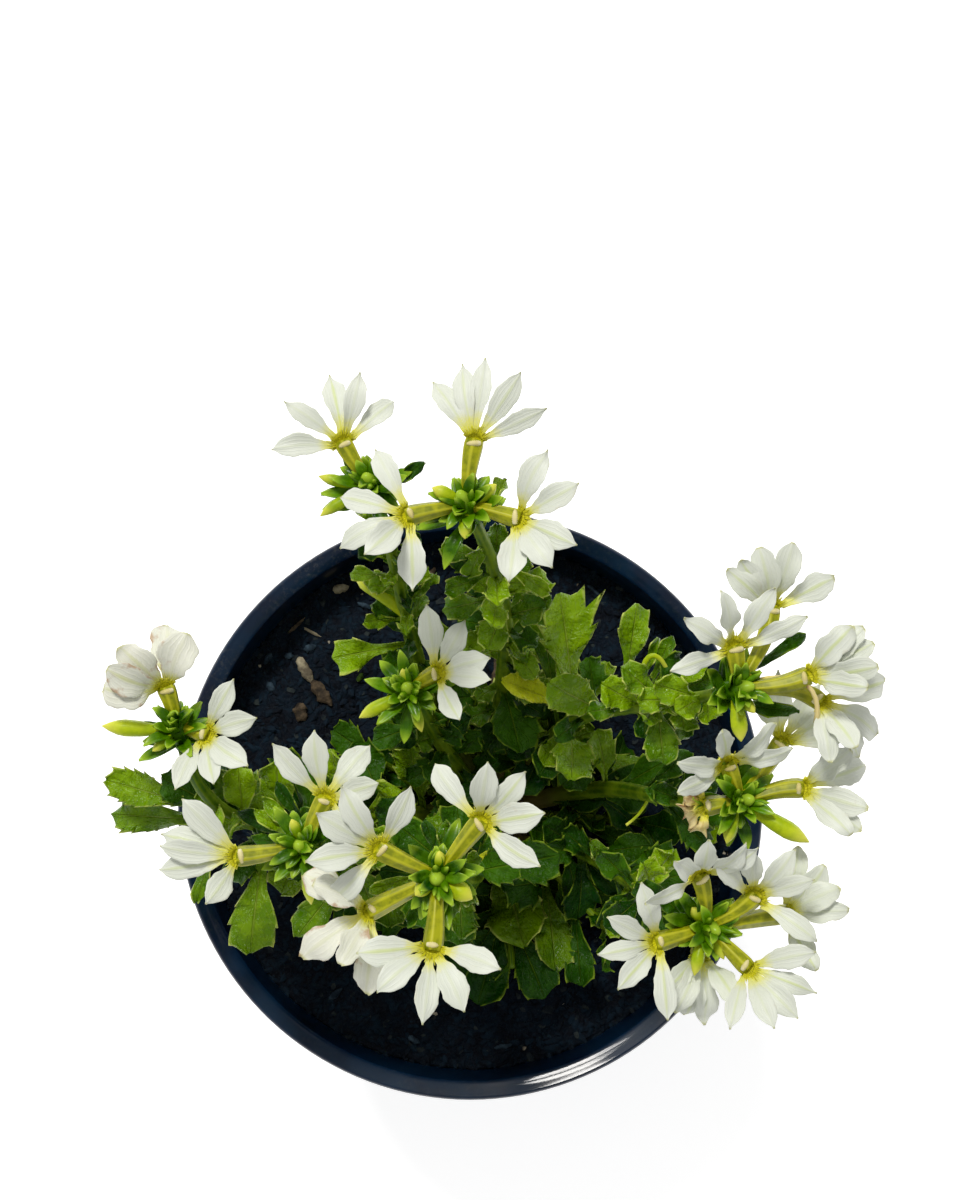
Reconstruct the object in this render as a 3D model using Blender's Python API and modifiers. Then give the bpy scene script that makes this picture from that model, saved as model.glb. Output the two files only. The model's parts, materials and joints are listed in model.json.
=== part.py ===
"""A white fan flower in a round nursery pot, one solid for each sub-part.

Metres, +Z up. The origin is the middle of the pot's flat underside. +Y points to the back
of the plant and +X to its right.

From the ground up: the pot, the potting mix in it, the short woody crown that stands on the
mix, one bare stem for each flower head, the leafy shoot that carries the stem on, the flower
head on its tip, and low leafy shoots round the crown. Neighbours that touch keep a small gap.
"""

import math
import random

import bmesh
import bpy
from mathutils import Matrix, Vector
from mathutils.bvhtree import BVHTree

MM = 0.001
GAP = 0.3 * MM
CLEARANCE = 0.35 * MM
WELD = 0.0001 * MM
FLAT = math.radians(0.3)
UP = Vector((0, 0, 1))
GOLDEN_ANGLE = math.radians(137.5)

# Pot: a 140 mm nursery pot.
RIM_RADIUS = 70 * MM
POT_HEIGHT = 122 * MM
BASE_RADIUS = 50 * MM
WALL = 1.8 * MM
FLOOR = 2.2 * MM
LIP_WIDTH = 4.5 * MM
LIP_DEPTH = 4 * MM
LIP_CROWN = 1.4 * MM
LIP_STEPS = 5
LIP_DRAFT = 0.2 * MM
COLLAR_DEPTH = 18 * MM
COLLAR_STEP = 1.7 * MM
COLLAR_DRAFT = 0.4 * MM
FOOT_DEPTH = 4 * MM
FOOT_STEP = 0.8 * MM
FOOT_DRAFT = 0.3 * MM
POT_STEPS = 36
DRAIN_COUNT = 8
DRAIN_RADIUS = 4.5 * MM
DRAIN_CIRCLE = 39 * MM
DRAIN_SIDES = 8

# Potting mix: its level surface, and how rough it is away from the crown.
MIX_LEVEL = POT_HEIGHT - 16 * MM
MIX_ROUGHNESS = 1.3 * MM
MIX_LEVEL_RADIUS = 17 * MM
MIX_EASE = 18 * MM
MIX_RINGS = 4

# Crown: the woody foot that all the stems grow from.
CROWN_PLACE = Vector((7 * MM, -3 * MM, MIX_LEVEL + GAP))
CROWN_HEIGHT = 18 * MM
CROWN_RADIUS = 5.6 * MM
CROWN_FLARE = 3.2 * MM
CROWN_LEAN = Vector((1.2 * MM, 0.8 * MM, 0))
CROWN_TAPER = 0.12
CROWN_FLARE_SHARE = 0.22
CROWN_SHOULDER_SHARE = 0.80
CROWN_RINGS = (0.0, 0.06, 0.14, 0.30, 0.55, 0.80, 0.93, 1.0)
CROWN_SIDES = 12
SEAT_STEPS = 6

# Stems and shoots.
STEM_RADIUS = 2.3 * MM
STEM_TIP_RADIUS = 1.87 * MM
SHOOT_RADIUS = 1.7 * MM
SHOOT_TIP_RADIUS = 1.2 * MM
LOW_SHOOT_RADIUS = 1.3 * MM
LOW_SHOOT_TAPER = 0.6
STEM_BEND = 0.36
STEM_POINTS = 8
SHOOT_POINTS = 8
LOW_SHOOT_POINTS = 6
LIMB_SIDES = 6

# Leaves: toothed, widest past the middle.
LEAF_LENGTH = 22.5 * MM
LEAF_WIDTH = 13.5 * MM
LEAF_THICKNESS = 0.55 * MM
LEAF_SPACING = 4.8 * MM
LEAF_FOLD = 0.18
LEAF_OPENING = 64
LEAF_CLOSING = 18
LEAF_SHRINK = 0.32
LEAF_LIGHT = 0.8
LEAF_NUDGES = (0.0, 0.35, -0.35, 0.7, -0.7)
LEAF_STEEPEST = -0.30
SHOOT_LEAVES = {"first": 0.04, "last": 0.97, "size": 0.95}
LOW_SHOOT_LEAVES = {"first": 0.25, "last": 1.0, "size": 1.08}
LEAF_RINGS = ((0.0, 0.11), (0.34, 0.30), (0.62, 1.0), (0.84, 0.80))
LEAF_SHAPES = 4
ROOT_REACH = 2.2 * MM

# Flower heads: bracts and buds round a short core, and flowers on curved tubes.
CORE_LENGTH = 9 * MM
CORE_RADIUS = 2.2 * MM
CORE_TIP_SHARE = 0.35
HEAD_SHARE = 0.6
BRACT_COUNT = 5
BRACT_LENGTH = 9 * MM
BRACT_WIDTH = 3.4 * MM
BRACT_RINGS = ((0.0, 0.5), (0.45, 1.0))
BRACT_RISE = 0.6 * MM
BRACT_FOLD = 0.2
BRACT_SLOPES = (18, 63)
BRACT_SCALES = (1.05, 0.75)
BUD_RADIUS = 1.35 * MM
BUD_DEPTH = 1.0 * MM
BUD_STALK = 2.0 * MM
BUD_SIDES = 4
BUD_OUTLINE = ((0.0, 0.5), (0.45, 0.9), (0.8, 1.0), (1.0, 0.25))
TUBE_RADIUS = 1.9 * MM
TUBE_ROOT_RADIUS = 0.9 * MM
TUBE_DROP = 1.5 * MM
TUBE_ARCH = 0.8 * MM
TUBE_LIP = 0.6 * MM
TUBE_LIFT = 2.5 * MM
TUBE_BEND = 0.55
TUBE_WAIST = 0.9
PETAL_COUNT = 5
PETAL_REACH = 15 * MM
PETAL_WIDTH = 6.2 * MM
PETAL_THICKNESS = 0.45 * MM
PETAL_RINGS = ((0.45, 0.74), (0.74, 1.0))
PETAL_GAP = 0.94
FAN_HUB = 0.15
FAN_HEEL = 0.6
FAN_SIZES = (0.94, 1.06)
FLOWER_NUDGES = [(shift, tilt) for shift in (0, 3, -3, 6, -6) for tilt in (0, 6, -6, 12, -12, 20)]

# How a flower holds its petals: the share of the full reach, the cup and the droop in mm, and
# the slope of the fan in degrees.
FANS = {
    "open": {"reach": 1.0, "cup": 1.2, "droop": 0.5, "pitch": 6},
    "wilted": {"reach": 0.86, "cup": 2.4, "droop": 1.5, "pitch": 14},
    "dried": {"reach": 0.45, "cup": 1.5, "droop": 2.0, "pitch": -10},
}

# The flowering stems. crown: the azimuth in degrees and the height in mm where the stem leaves
# the crown. rise: its slope there in degrees. head: the middle of its flower head, in mm. lean:
# how far the tip leans from upright, in degrees, and towards which azimuth. bare: the share of
# the stem below its first leaf. flowers: the azimuth of the tube, its reach and its drop from the
# head in mm, the turn of the fan from that azimuth and its spread in degrees, and its state.
# buds: azimuth, slope and length.
STEMS = {
    "back": {
        "crown": (94, 13), "rise": 30, "head": (-1, 56, 214), "lean": (36, 122), "bare": 0.34,
        "flowers": ((82, 11.5, 0, -6, 104, "open"), (-17, 10.0, 0, 0, 148, "open"),
                    (193, 10.8, 0, 4, 154, "open")),
        "buds": ((145, 40, 6), (-100, 65, 5), (30, 50, 5)),
    },
    "back_left": {
        "crown": (130, 9.5), "rise": 26, "head": (-20, 62, 202), "lean": (22, 115), "bare": 0.34,
        "flowers": ((123, 9.0, 0, -6, 148, "open"),),
        "buds": ((182, 10, 9), (212, 5, 10), (20, 50, 5)),
    },
    "left": {
        "crown": (180, 13), "rise": 12, "head": (-60, 15, 184), "lean": (60, 102), "bare": 0.34,
        "flowers": ((105, 7.5, 0, 8, 112, "wilted"), (-15, 6.0, 0, -12, 158, "open")),
        "buds": ((178, 5, 15), (220, 30, 6)),
    },
    "front_left": {
        "crown": (214, 10), "rise": 30, "head": (-33, -9, 196), "lean": (10, 150), "bare": 0.36,
        "flowers": ((189, 12.0, 0, -5, 112, "open"), (64, 10.0, 0, -6, 150, "open")),
        "buds": ((120, 30, 7), (250, 20, 6)),
    },
    "front": {
        "crown": (250, 14), "rise": 40, "head": (-6, -14, 217), "lean": (10, 240), "bare": 0.40,
        "flowers": ((155, 11.5, 0, -5, 158, "open"), (52, 12.4, 0, -3, 158, "open"),
                    (266, 12.4, 0, -6, 150, "open"), (207, 14.0, 7, 0, 124, "wilted")),
        "buds": ((-35, 35, 5), (100, 50, 5)),
    },
    "middle": {
        "crown": (146, 16.5), "rise": 52, "head": (-13, 23, 174), "lean": (14, 130), "bare": 0.40,
        "flowers": ((31, 6.5, 0, -10, 150, "open"),),
        "buds": ((195, 10, 8), (272, 25, 6), (110, 50, 5)),
    },
    "back_right": {
        "crown": (58, 10), "rise": 34, "head": (51, 21, 210), "lean": (44, 10), "bare": 0.32,
        "flowers": ((96, 7.5, 0, 14, 168, "open"), (65, 17.0, 5, 22, 108, "open"),
                    (10, 12.5, 0, 16, 92, "open"), (-6, 16.0, 6, -36, 104, "open")),
        "buds": ((-75, 30, 6), (180, 40, 5)),
    },
    "right": {
        "crown": (17, 13.5), "rise": 8, "head": (53, 0, 198), "lean": (30, 5), "bare": 0.34,
        "flowers": ((112, 7.0, 0, 7, 160, "open"), (12, 11.5, 1, -16, 104, "open"),
                    (52, 14.0, 6, 10, 104, "open"), (184, 9.0, 3, 0, 90, "dried")),
        "buds": ((-32, 8, 16), (-100, 40, 5)),
    },
    "front_right": {
        "crown": (-24, 10), "rise": 12, "head": (47, -25, 192), "lean": (28, -25), "bare": 0.34,
        "flowers": ((195, 11.3, 0, 0, 152, "open"), (101, 10.0, 0, 14, 142, "open"),
                    (34, 10.7, 0, 18, 168, "open"), (-46, 10.0, 0, 0, 102, "open"),
                    (8, 16.0, 7, 0, 100, "open"), (250, 13.0, 7, 0, 92, "open")),
        "buds": ((150, 35, 5), (-10, 50, 5)),
    },
}

# The low leafy shoots: azimuth and height on the crown, slope in degrees, length in mm.
LOW_SHOOTS = {
    "low_right": (-4, 4.4, 24, 36),
    "low_back_right": (38, 4.0, 34, 30),
    "low_back": (80, 4.4, 36, 26),
    "low_back_left": (118, 4.0, 34, 24),
    "low_left": (158, 4.4, 28, 30),
    "low_front_left": (196, 4.0, 26, 34),
    "low_front_middle": (236, 4.4, 26, 30),
    "low_front": (274, 4.0, 22, 34),
    "low_front_right": (312, 4.4, 24, 36),
}

COLOURS = {
    "pot": ((0.012, 0.020, 0.034), 0.35),
    "potting_mix": ((0.020, 0.014, 0.010), 0.95),
    "crown": ((0.16, 0.11, 0.055), 0.85),
    "stem": ((0.12, 0.22, 0.03), 0.55),
    "shoot": ((0.09, 0.22, 0.02), 0.45),
    "head": ((0.75, 0.76, 0.68), 0.55),
}


def clear_scene():
    for thing in list(bpy.data.objects):
        bpy.data.objects.remove(thing)


def make_collection(name):
    collection = bpy.data.collections.new(name)
    bpy.context.scene.collection.children.link(collection)
    return collection


def make_material(name, colour, roughness):
    material = bpy.data.materials.new(name)
    material.use_nodes = True
    shader = material.node_tree.nodes["Principled BSDF"]
    shader.inputs["Base Color"].default_value = (*colour, 1.0)
    shader.inputs["Roughness"].default_value = roughness
    material.diffuse_color = (*colour, 1.0)
    return material


def add_object(name, mesh, collection, kind=None):
    """Link a mesh as an object, with its own material when it is a sub-part."""
    thing = bpy.data.objects.new(name, mesh)
    collection.objects.link(thing)
    if kind is not None:
        mesh.materials.clear()
        mesh.materials.append(make_material(name, *COLOURS[kind]))
    return thing


def evaluated_mesh(thing):
    """The object's mesh with its modifiers and caps, in world space, welded and in triangles."""
    graph = bpy.context.evaluated_depsgraph_get()
    mesh = bpy.data.meshes.new_from_object(thing.evaluated_get(graph))
    mesh.transform(thing.matrix_world)
    welded = bmesh.new()
    welded.from_mesh(mesh)
    bmesh.ops.remove_doubles(welded, verts=welded.verts, dist=WELD)
    bmesh.ops.triangulate(welded, faces=welded.faces)
    welded.to_mesh(mesh)
    welded.free()
    return mesh


def heading(azimuth, slope=0.0):
    """The unit vector at an azimuth and a slope above level, both in radians."""
    level = Vector((math.cos(azimuth), math.sin(azimuth), 0))
    return level * math.cos(slope) + UP * math.sin(slope)


def frame_at(place, forward, face):
    """A matrix whose Y axis runs forward and whose Z axis leans to face."""
    forward = forward.normalized()
    side = forward.cross(face).normalized()
    normal = side.cross(forward)
    turn = Matrix((side, forward, normal)).transposed().to_4x4()
    return Matrix.Translation(place) @ turn


# Curves

def bezier(start, leave, arrive, end, share):
    rest = 1.0 - share
    return (start * rest ** 3 + leave * (3 * rest ** 2 * share)
            + arrive * (3 * rest * share ** 2) + end * share ** 3)


def stem_course(stem):
    """The four control points of a flowering stem, from the crown's side to its head's foot."""
    azimuth, height = stem["crown"]
    azimuth = math.radians(azimuth)
    rise = math.radians(stem["rise"])
    start = crown_seat(azimuth, height * MM, rise, STEM_RADIUS)
    lean, lean_azimuth = (math.radians(angle) for angle in stem["lean"])
    tip_heading = heading(lean_azimuth, math.pi / 2 - lean)
    end = Vector(stem["head"]) * MM - tip_heading * (CORE_LENGTH * HEAD_SHARE)
    bend = (end - start).length * STEM_BEND
    return start, start + heading(azimuth, rise) * bend, end - tip_heading * bend, end


def low_course(azimuth, height, slope, length):
    """The control points of a low leafy shoot, that leaves the crown flat and turns up."""
    azimuth = math.radians(azimuth)
    slope = math.radians(slope)
    start = crown_seat(azimuth, height * MM, slope * 0.5, LOW_SHOOT_RADIUS)
    reach = length * MM
    leave = start + heading(azimuth, slope * 0.5) * reach / 3
    end = start + heading(azimuth, slope) * reach
    return start, leave, end - heading(azimuth, slope * 1.4) * reach / 3, end


def crown_seat(azimuth, height, slope, radius):
    """The point beside the crown where a limb of that radius and slope starts, a gap clear."""
    out = heading(azimuth)
    distance = 0.0
    for step in range(SEAT_STEPS + 1):
        across = radius * (2 * step / SEAT_STEPS - 1)
        rise = across * math.cos(slope)
        shift = (CROWN_LEAN * rise / CROWN_HEIGHT).dot(out)
        needed = crown_radius((height + rise) / CROWN_HEIGHT) + shift + across * math.sin(slope)
        distance = max(distance, needed)
    axis = CROWN_PLACE + CROWN_LEAN * height / CROWN_HEIGHT + UP * height
    return axis + out * (distance + GAP)


def crown_radius(share):
    """The crown's radius, flared at the ground and drawn in at the top."""
    flare = CROWN_FLARE * max(0.0, 1.0 - share / CROWN_FLARE_SHARE) ** 2
    past_shoulder = max(0.0, (share - CROWN_SHOULDER_SHARE) / CROWN_FLARE_SHARE)
    shoulder = math.sqrt(max(0.0, 1.0 - past_shoulder ** 2))
    return CROWN_RADIUS * (1.0 - CROWN_TAPER * share) * shoulder + flare


def course_points(course, first, last, count):
    steps = count - 1
    return [bezier(*course, first + (last - first) * step / steps) for step in range(count)]


def limb_mesh(points, radii, sides):
    """A tapering limb through the points, as a bevelled curve with filled caps."""
    curve = bpy.data.curves.new("limb", "CURVE")
    curve.dimensions = "3D"
    curve.bevel_depth = 1.0
    curve.bevel_resolution = (sides - 4) // 2
    curve.use_fill_caps = True
    spline = curve.splines.new("POLY")
    spline.points.add(len(points) - 1)
    for point, place, radius in zip(spline.points, points, radii):
        point.co = (*place, 1.0)
        point.radius = radius
    thing = bpy.data.objects.new("limb", curve)
    bpy.context.scene.collection.objects.link(thing)
    mesh = evaluated_mesh(thing)
    bpy.data.objects.remove(thing)
    bpy.data.curves.remove(curve)
    return mesh


def taper(first, last, count):
    return [first + (last - first) * step / (count - 1) for step in range(count)]


# Blades: leaves, bracts and petals

def blade_mesh(length, width, rings, thickness, rise, droop, fold):
    """A thin solid blade along +Y with its root at the origin and its face to +Z.

    rings holds the share of the length and of the width at each cross row, and the blade ends
    in one point. rise lifts its middle, droop lowers its tip, and fold raises its edges.
    """
    sheet = bmesh.new()
    rows = []
    for share, broad in rings:
        lift = rise * math.sin(math.pi * share) - droop * share ** 2
        half = width * broad / 2
        edge = lift + fold * half
        rows.append([sheet.verts.new((side * half, length * share, edge)) for side in (-1, 1)])
    tip = sheet.verts.new((0, length, -droop))
    for lower, upper in zip(rows, rows[1:]):
        sheet.faces.new((lower[0], lower[1], upper[1], upper[0]))
    sheet.faces.new((rows[-1][0], rows[-1][1], tip))
    return solid_sheet(sheet, thickness)


def solid_sheet(sheet, thickness):
    """An open sheet with its thickness, half to each side."""
    mesh = bpy.data.meshes.new("sheet")
    sheet.to_mesh(mesh)
    sheet.free()
    thing = add_object("sheet", mesh, bpy.context.scene.collection)
    shell = thing.modifiers.new("thickness", "SOLIDIFY")
    shell.thickness = thickness
    shell.offset = 0.0
    solid = evaluated_mesh(thing)
    bpy.data.objects.remove(thing)
    return solid


def fan_mesh(reach, spread, cup, droop):
    """The petals of one flower as one thin solid, with the throat at the origin.

    The petals share a small hub and spread evenly about +Y, narrower where they crowd. cup
    raises the middle of each petal above the hub, and droop lowers its tip.
    """
    sheet = bmesh.new()
    step = spread / (PETAL_COUNT - 1)
    room = 2 * reach * PETAL_RINGS[0][0] * math.tan(step / 2) * PETAL_GAP / PETAL_RINGS[0][1]
    width = min(PETAL_WIDTH * reach / PETAL_REACH, room)

    def place(angle, along, across):
        height = cup * math.sin(math.pi * along) - droop * along ** 2
        turned = Matrix.Rotation(angle, 3, "Z") @ Vector((across, reach * along, 0))
        return sheet.verts.new((turned.x, turned.y, height))

    notches = [place(spread / 2 - step * (index - 0.5), FAN_HUB, 0) for index in range(PETAL_COUNT + 1)]
    heel = place(0.0, -FAN_HUB * FAN_HEEL, 0)
    sheet.faces.new([heel] + notches[::-1])
    for index in range(PETAL_COUNT):
        angle = spread / 2 - step * index
        lower = [notches[index], notches[index + 1]]
        for share, broad in PETAL_RINGS:
            half = width * broad / 2
            upper = [place(angle, share, -half), place(angle, share, half)]
            sheet.faces.new((lower[0], lower[1], upper[1], upper[0]))
            lower = upper
        sheet.faces.new((lower[0], lower[1], place(angle, 1.0, 0)))
    return solid_sheet(sheet, PETAL_THICKNESS)


def leaf_shapes():
    """A few leaf solids of one outline, more and less arched."""
    shapes = []
    for index in range(LEAF_SHAPES):
        share = index / (LEAF_SHAPES - 1)
        rise = (0.5 + 1.6 * share) * MM
        droop = (1.0 + 3.0 * share) * MM
        shapes.append(blade_mesh(LEAF_LENGTH, LEAF_WIDTH, LEAF_RINGS, LEAF_THICKNESS,
                                 rise, droop, LEAF_FOLD))
    return shapes


# Space kept by each sub-part

class Space:
    """What each sub-part fills, so that nothing placed later runs into another one."""

    def __init__(self):
        self.taken = []

    def tree(self, mesh, matrix, swell, root):
        """The mesh in place, swollen, with the numbers of the faces that touch its root."""
        work = bmesh.new()
        work.from_mesh(mesh)
        work.transform(matrix)
        work.normal_update()
        root_faces = set()
        if root is not None:
            place = matrix @ root
            root_faces = {face.index for face in work.faces
                          if min((vert.co - place).length for vert in face.verts) < ROOT_REACH}
        for vert in work.verts:
            vert.co += vert.normal * swell
        tree = BVHTree.FromBMesh(work)
        work.free()
        return tree, root_faces

    def fill(self, owner, mesh, matrix=Matrix(), root=None):
        """Take the room of a limb, or of a piece that springs from a limb at its root."""
        self.taken.append((owner, root is None, *self.tree(mesh, matrix, 0.0, root)))

    def is_free(self, owner, mesh, matrix=Matrix(), root=Vector()):
        """True if the piece is clear of other owners, and past its root of its own owner's."""
        swollen, own_roots = self.tree(mesh, matrix, CLEARANCE, root)
        for other, is_limb, tree, roots in self.taken:
            if other == owner and is_limb:
                continue
            meets = swollen.overlap(tree)
            if other == owner:
                meets = [pair for pair in meets if pair[0] not in own_roots or pair[1] not in roots]
            if meets:
                return False
        return True


# Fusing

def biggest_shell(mesh):
    """Keep the largest closed shell: sealed hollows are filled and loose scraps are dropped.

    Faces that the union cut in one plane are joined again, where that leaves the shell closed.
    """
    work = bmesh.new()
    work.from_mesh(mesh)
    unseen = set(work.verts)
    shells = []
    while unseen:
        stack = [unseen.pop()]
        shell = set(stack)
        while stack:
            for edge in stack.pop().link_edges:
                for vert in edge.verts:
                    if vert not in shell:
                        shell.add(vert)
                        unseen.discard(vert)
                        stack.append(vert)
        shells.append(shell)
    keep = max(shells, key=len)
    bmesh.ops.delete(work, geom=[vert for vert in work.verts if vert not in keep], context="VERTS")
    closed = all(edge.is_manifold for edge in work.edges)
    work.to_mesh(mesh)
    bmesh.ops.dissolve_limit(work, angle_limit=FLAT, verts=work.verts, edges=work.edges)
    bmesh.ops.triangulate(work, faces=work.faces)
    if all(edge.is_manifold for edge in work.edges):
        work.to_mesh(mesh)
    work.free()
    return closed


def fuse(name, core, pieces, collection, kind):
    """Join the pieces, each a mesh and its matrix, to the core with one Boolean union."""
    for solver in ("EXACT", "MANIFOLD"):
        joined = make_collection(name + "_pieces")
        for mesh, matrix in pieces:
            piece = add_object("piece", mesh, joined)
            piece.matrix_world = matrix
        base = add_object(name + "_core", core, bpy.context.scene.collection)
        union = base.modifiers.new("union", "BOOLEAN")
        union.operation = "UNION"
        union.solver = solver
        union.operand_type = "COLLECTION"
        union.collection = joined
        bpy.context.view_layer.update()
        mesh = evaluated_mesh(base)
        for piece in list(joined.objects):
            bpy.data.objects.remove(piece)
        bpy.data.objects.remove(base)
        bpy.data.collections.remove(joined)
        if biggest_shell(mesh):
            break
    mesh.name = name
    return add_object(name, mesh, collection, kind)


# Sub-parts

def pot_profile():
    """The pot's section from the floor's middle, up inside, over the lip and down outside."""
    collar_base = POT_HEIGHT - COLLAR_DEPTH
    outer_wall = RIM_RADIUS - LIP_WIDTH + WALL
    body_top = outer_wall - COLLAR_STEP
    lip_middle = RIM_RADIUS - LIP_WIDTH / 2
    lip_edge = POT_HEIGHT - LIP_CROWN
    points = [
        (0, FLOOR),
        (BASE_RADIUS - WALL, FLOOR),
        (body_top - WALL, collar_base - COLLAR_STEP),
        (outer_wall - WALL - COLLAR_DRAFT, collar_base),
    ]
    for step in range(LIP_STEPS + 1):
        angle = math.pi * (1 - step / LIP_STEPS)
        points.append((lip_middle + LIP_WIDTH / 2 * math.cos(angle),
                       lip_edge + LIP_CROWN * math.sin(angle)))
    points += [
        (RIM_RADIUS - LIP_DRAFT, POT_HEIGHT - LIP_DEPTH),
        (outer_wall, POT_HEIGHT - LIP_DEPTH),
        (outer_wall - COLLAR_DRAFT, collar_base),
        (body_top, collar_base - COLLAR_STEP),
        (BASE_RADIUS + FOOT_STEP, FOOT_DEPTH),
        (BASE_RADIUS, FOOT_DEPTH),
        (BASE_RADIUS - FOOT_DRAFT, 0),
        (0, 0),
    ]
    return points


def make_pot(collection, cutters):
    profile = bmesh.new()
    verts = [profile.verts.new((radius, 0, height)) for radius, height in pot_profile()]
    for lower, upper in zip(verts, verts[1:]):
        profile.edges.new((lower, upper))
    mesh = bpy.data.meshes.new("pot")
    profile.to_mesh(mesh)
    profile.free()
    pot = add_object("pot", mesh, collection, "pot")
    turn = pot.modifiers.new("turn", "SCREW")
    turn.steps = POT_STEPS
    turn.render_steps = POT_STEPS
    turn.use_merge_vertices = True
    turn.merge_threshold = 0.00001
    turn.use_normal_calculate = False
    for index in range(DRAIN_COUNT):
        azimuth = 2 * math.pi * (index + 0.5) / DRAIN_COUNT
        place = heading(azimuth) * DRAIN_CIRCLE + UP * FLOOR / 2
        bpy.ops.mesh.primitive_cylinder_add(vertices=DRAIN_SIDES, radius=DRAIN_RADIUS, depth=FLOOR * 3,
                                            location=place)
        cutter = bpy.context.active_object
        cutter.name = f"drain_cutter_{index}"
        cutter.hide_render = True
        cutter.display_type = "WIRE"
        for owner in list(cutter.users_collection):
            owner.objects.unlink(cutter)
        cutters.objects.link(cutter)
    drain = pot.modifiers.new("drain", "BOOLEAN")
    drain.operand_type = "COLLECTION"
    drain.collection = cutters
    return pot


def ring_loft(rings, name):
    """A closed mesh through rings of points, each with the same count, capped at both ends."""
    work = bmesh.new()
    rows = [[work.verts.new(point) for point in ring] for ring in rings]
    count = len(rows[0])
    for lower, upper in zip(rows, rows[1:]):
        for index in range(count):
            following = (index + 1) % count
            work.faces.new((lower[index], lower[following], upper[following], upper[index]))
    work.faces.new(list(reversed(rows[0])))
    middle = work.verts.new(sum((vert.co for vert in rows[-1]), Vector()) / count)
    for index in range(count):
        work.faces.new((rows[-1][index], rows[-1][(index + 1) % count], middle))
    mesh = bpy.data.meshes.new(name)
    work.to_mesh(mesh)
    work.free()
    return mesh


def mix_height(x, y):
    """The mix's surface: level round the crown, gently rough beyond it."""
    from_crown = math.hypot(x - CROWN_PLACE.x, y - CROWN_PLACE.y)
    ease = min(1.0, max(0.0, (from_crown - MIX_LEVEL_RADIUS) / MIX_EASE))
    wave = math.sin(x * 210 + 1.3) * math.cos(y * 180 - 0.4) + 0.5 * math.sin(x * 420 - y * 390)
    return MIX_LEVEL + MIX_ROUGHNESS * ease * wave / 1.5


def make_potting_mix(collection):
    profile = pot_profile()
    floor_radius = profile[1][0] - GAP
    step_radius, step_height = profile[2]
    top_radius = profile[3][0] - GAP
    rings = []

    def ring(radius, height=None):
        points = []
        for index in range(POT_STEPS):
            angle = 2 * math.pi * index / POT_STEPS
            x = radius * math.cos(angle)
            y = radius * math.sin(angle)
            points.append((x, y, mix_height(x, y) if height is None else height))
        rings.append(points)

    ring(floor_radius, FLOOR + GAP)
    ring(step_radius - GAP, step_height)
    ring(top_radius, POT_HEIGHT - COLLAR_DEPTH + GAP)
    ring(top_radius)
    for index in range(MIX_RINGS - 1):
        ring(top_radius * (1 - (index + 1) / MIX_RINGS))
    mesh = ring_loft(rings, "potting_mix")
    return add_object("potting_mix", mesh, collection, "potting_mix")


def make_crown(collection):
    rings = []
    for share in CROWN_RINGS:
        axis = CROWN_PLACE + CROWN_LEAN * share + UP * CROWN_HEIGHT * share
        radius = crown_radius(share)
        ring = []
        for index in range(CROWN_SIDES):
            angle = 2 * math.pi * index / CROWN_SIDES
            ring.append(axis + heading(angle) * radius)
        rings.append(ring)
    return add_object("crown", ring_loft(rings, "crown"), collection, "crown")


def split_share(course, share, gap):
    """The share of the course that lies a gap beyond another share."""
    step = 0.001
    speed = (bezier(*course, share + step) - bezier(*course, share)).length / step
    return share + gap / speed


def leaf_matrix(course, share, azimuth, opening, scale):
    """Where a leaf stands: its root on the limb's axis, leaning out and facing the light."""
    place = bezier(*course, share)
    axis = (bezier(*course, min(1.0, share + 0.02)) - bezier(*course, share - 0.02)).normalized()
    side = axis.orthogonal().normalized()
    side.rotate(Matrix.Rotation(azimuth, 3, axis))
    forward = side * math.sin(opening) + axis * math.cos(opening)
    face = axis + UP * LEAF_LIGHT
    return frame_at(place, forward, face) @ Matrix.Scale(scale, 4)


def leaf_pieces(owner, course, first, last, size, shapes, space, dice):
    """Leaves up one limb by the golden angle, each where it has room; the rest are left out."""
    points = course_points(course, first, last, STEM_POINTS)
    length = sum((upper - lower).length for lower, upper in zip(points, points[1:]))
    count = max(2, round(length / LEAF_SPACING))
    azimuth = dice.uniform(0, 2 * math.pi)
    pieces = []
    for index in range(count):
        share = first + (last - first) * (index + 0.6) / count
        azimuth += GOLDEN_ANGLE
        scale = size * (1.0 - LEAF_SHRINK * index / count) * dice.uniform(0.86, 1.10)
        shape = dice.choice(shapes)
        for nudge in LEAF_NUDGES:
            opening = math.radians(LEAF_OPENING - LEAF_CLOSING * index / count) + nudge / 4
            matrix = leaf_matrix(course, share, azimuth + nudge, opening, scale)
            forward = matrix.to_3x3() @ Vector((0, 1, 0))
            if forward.normalized().z < LEAF_STEEPEST:
                continue
            if space.is_free(owner, shape, matrix):
                space.fill(owner, shape, matrix, root=Vector())
                pieces.append((shape, matrix))
                break
    return pieces


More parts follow.
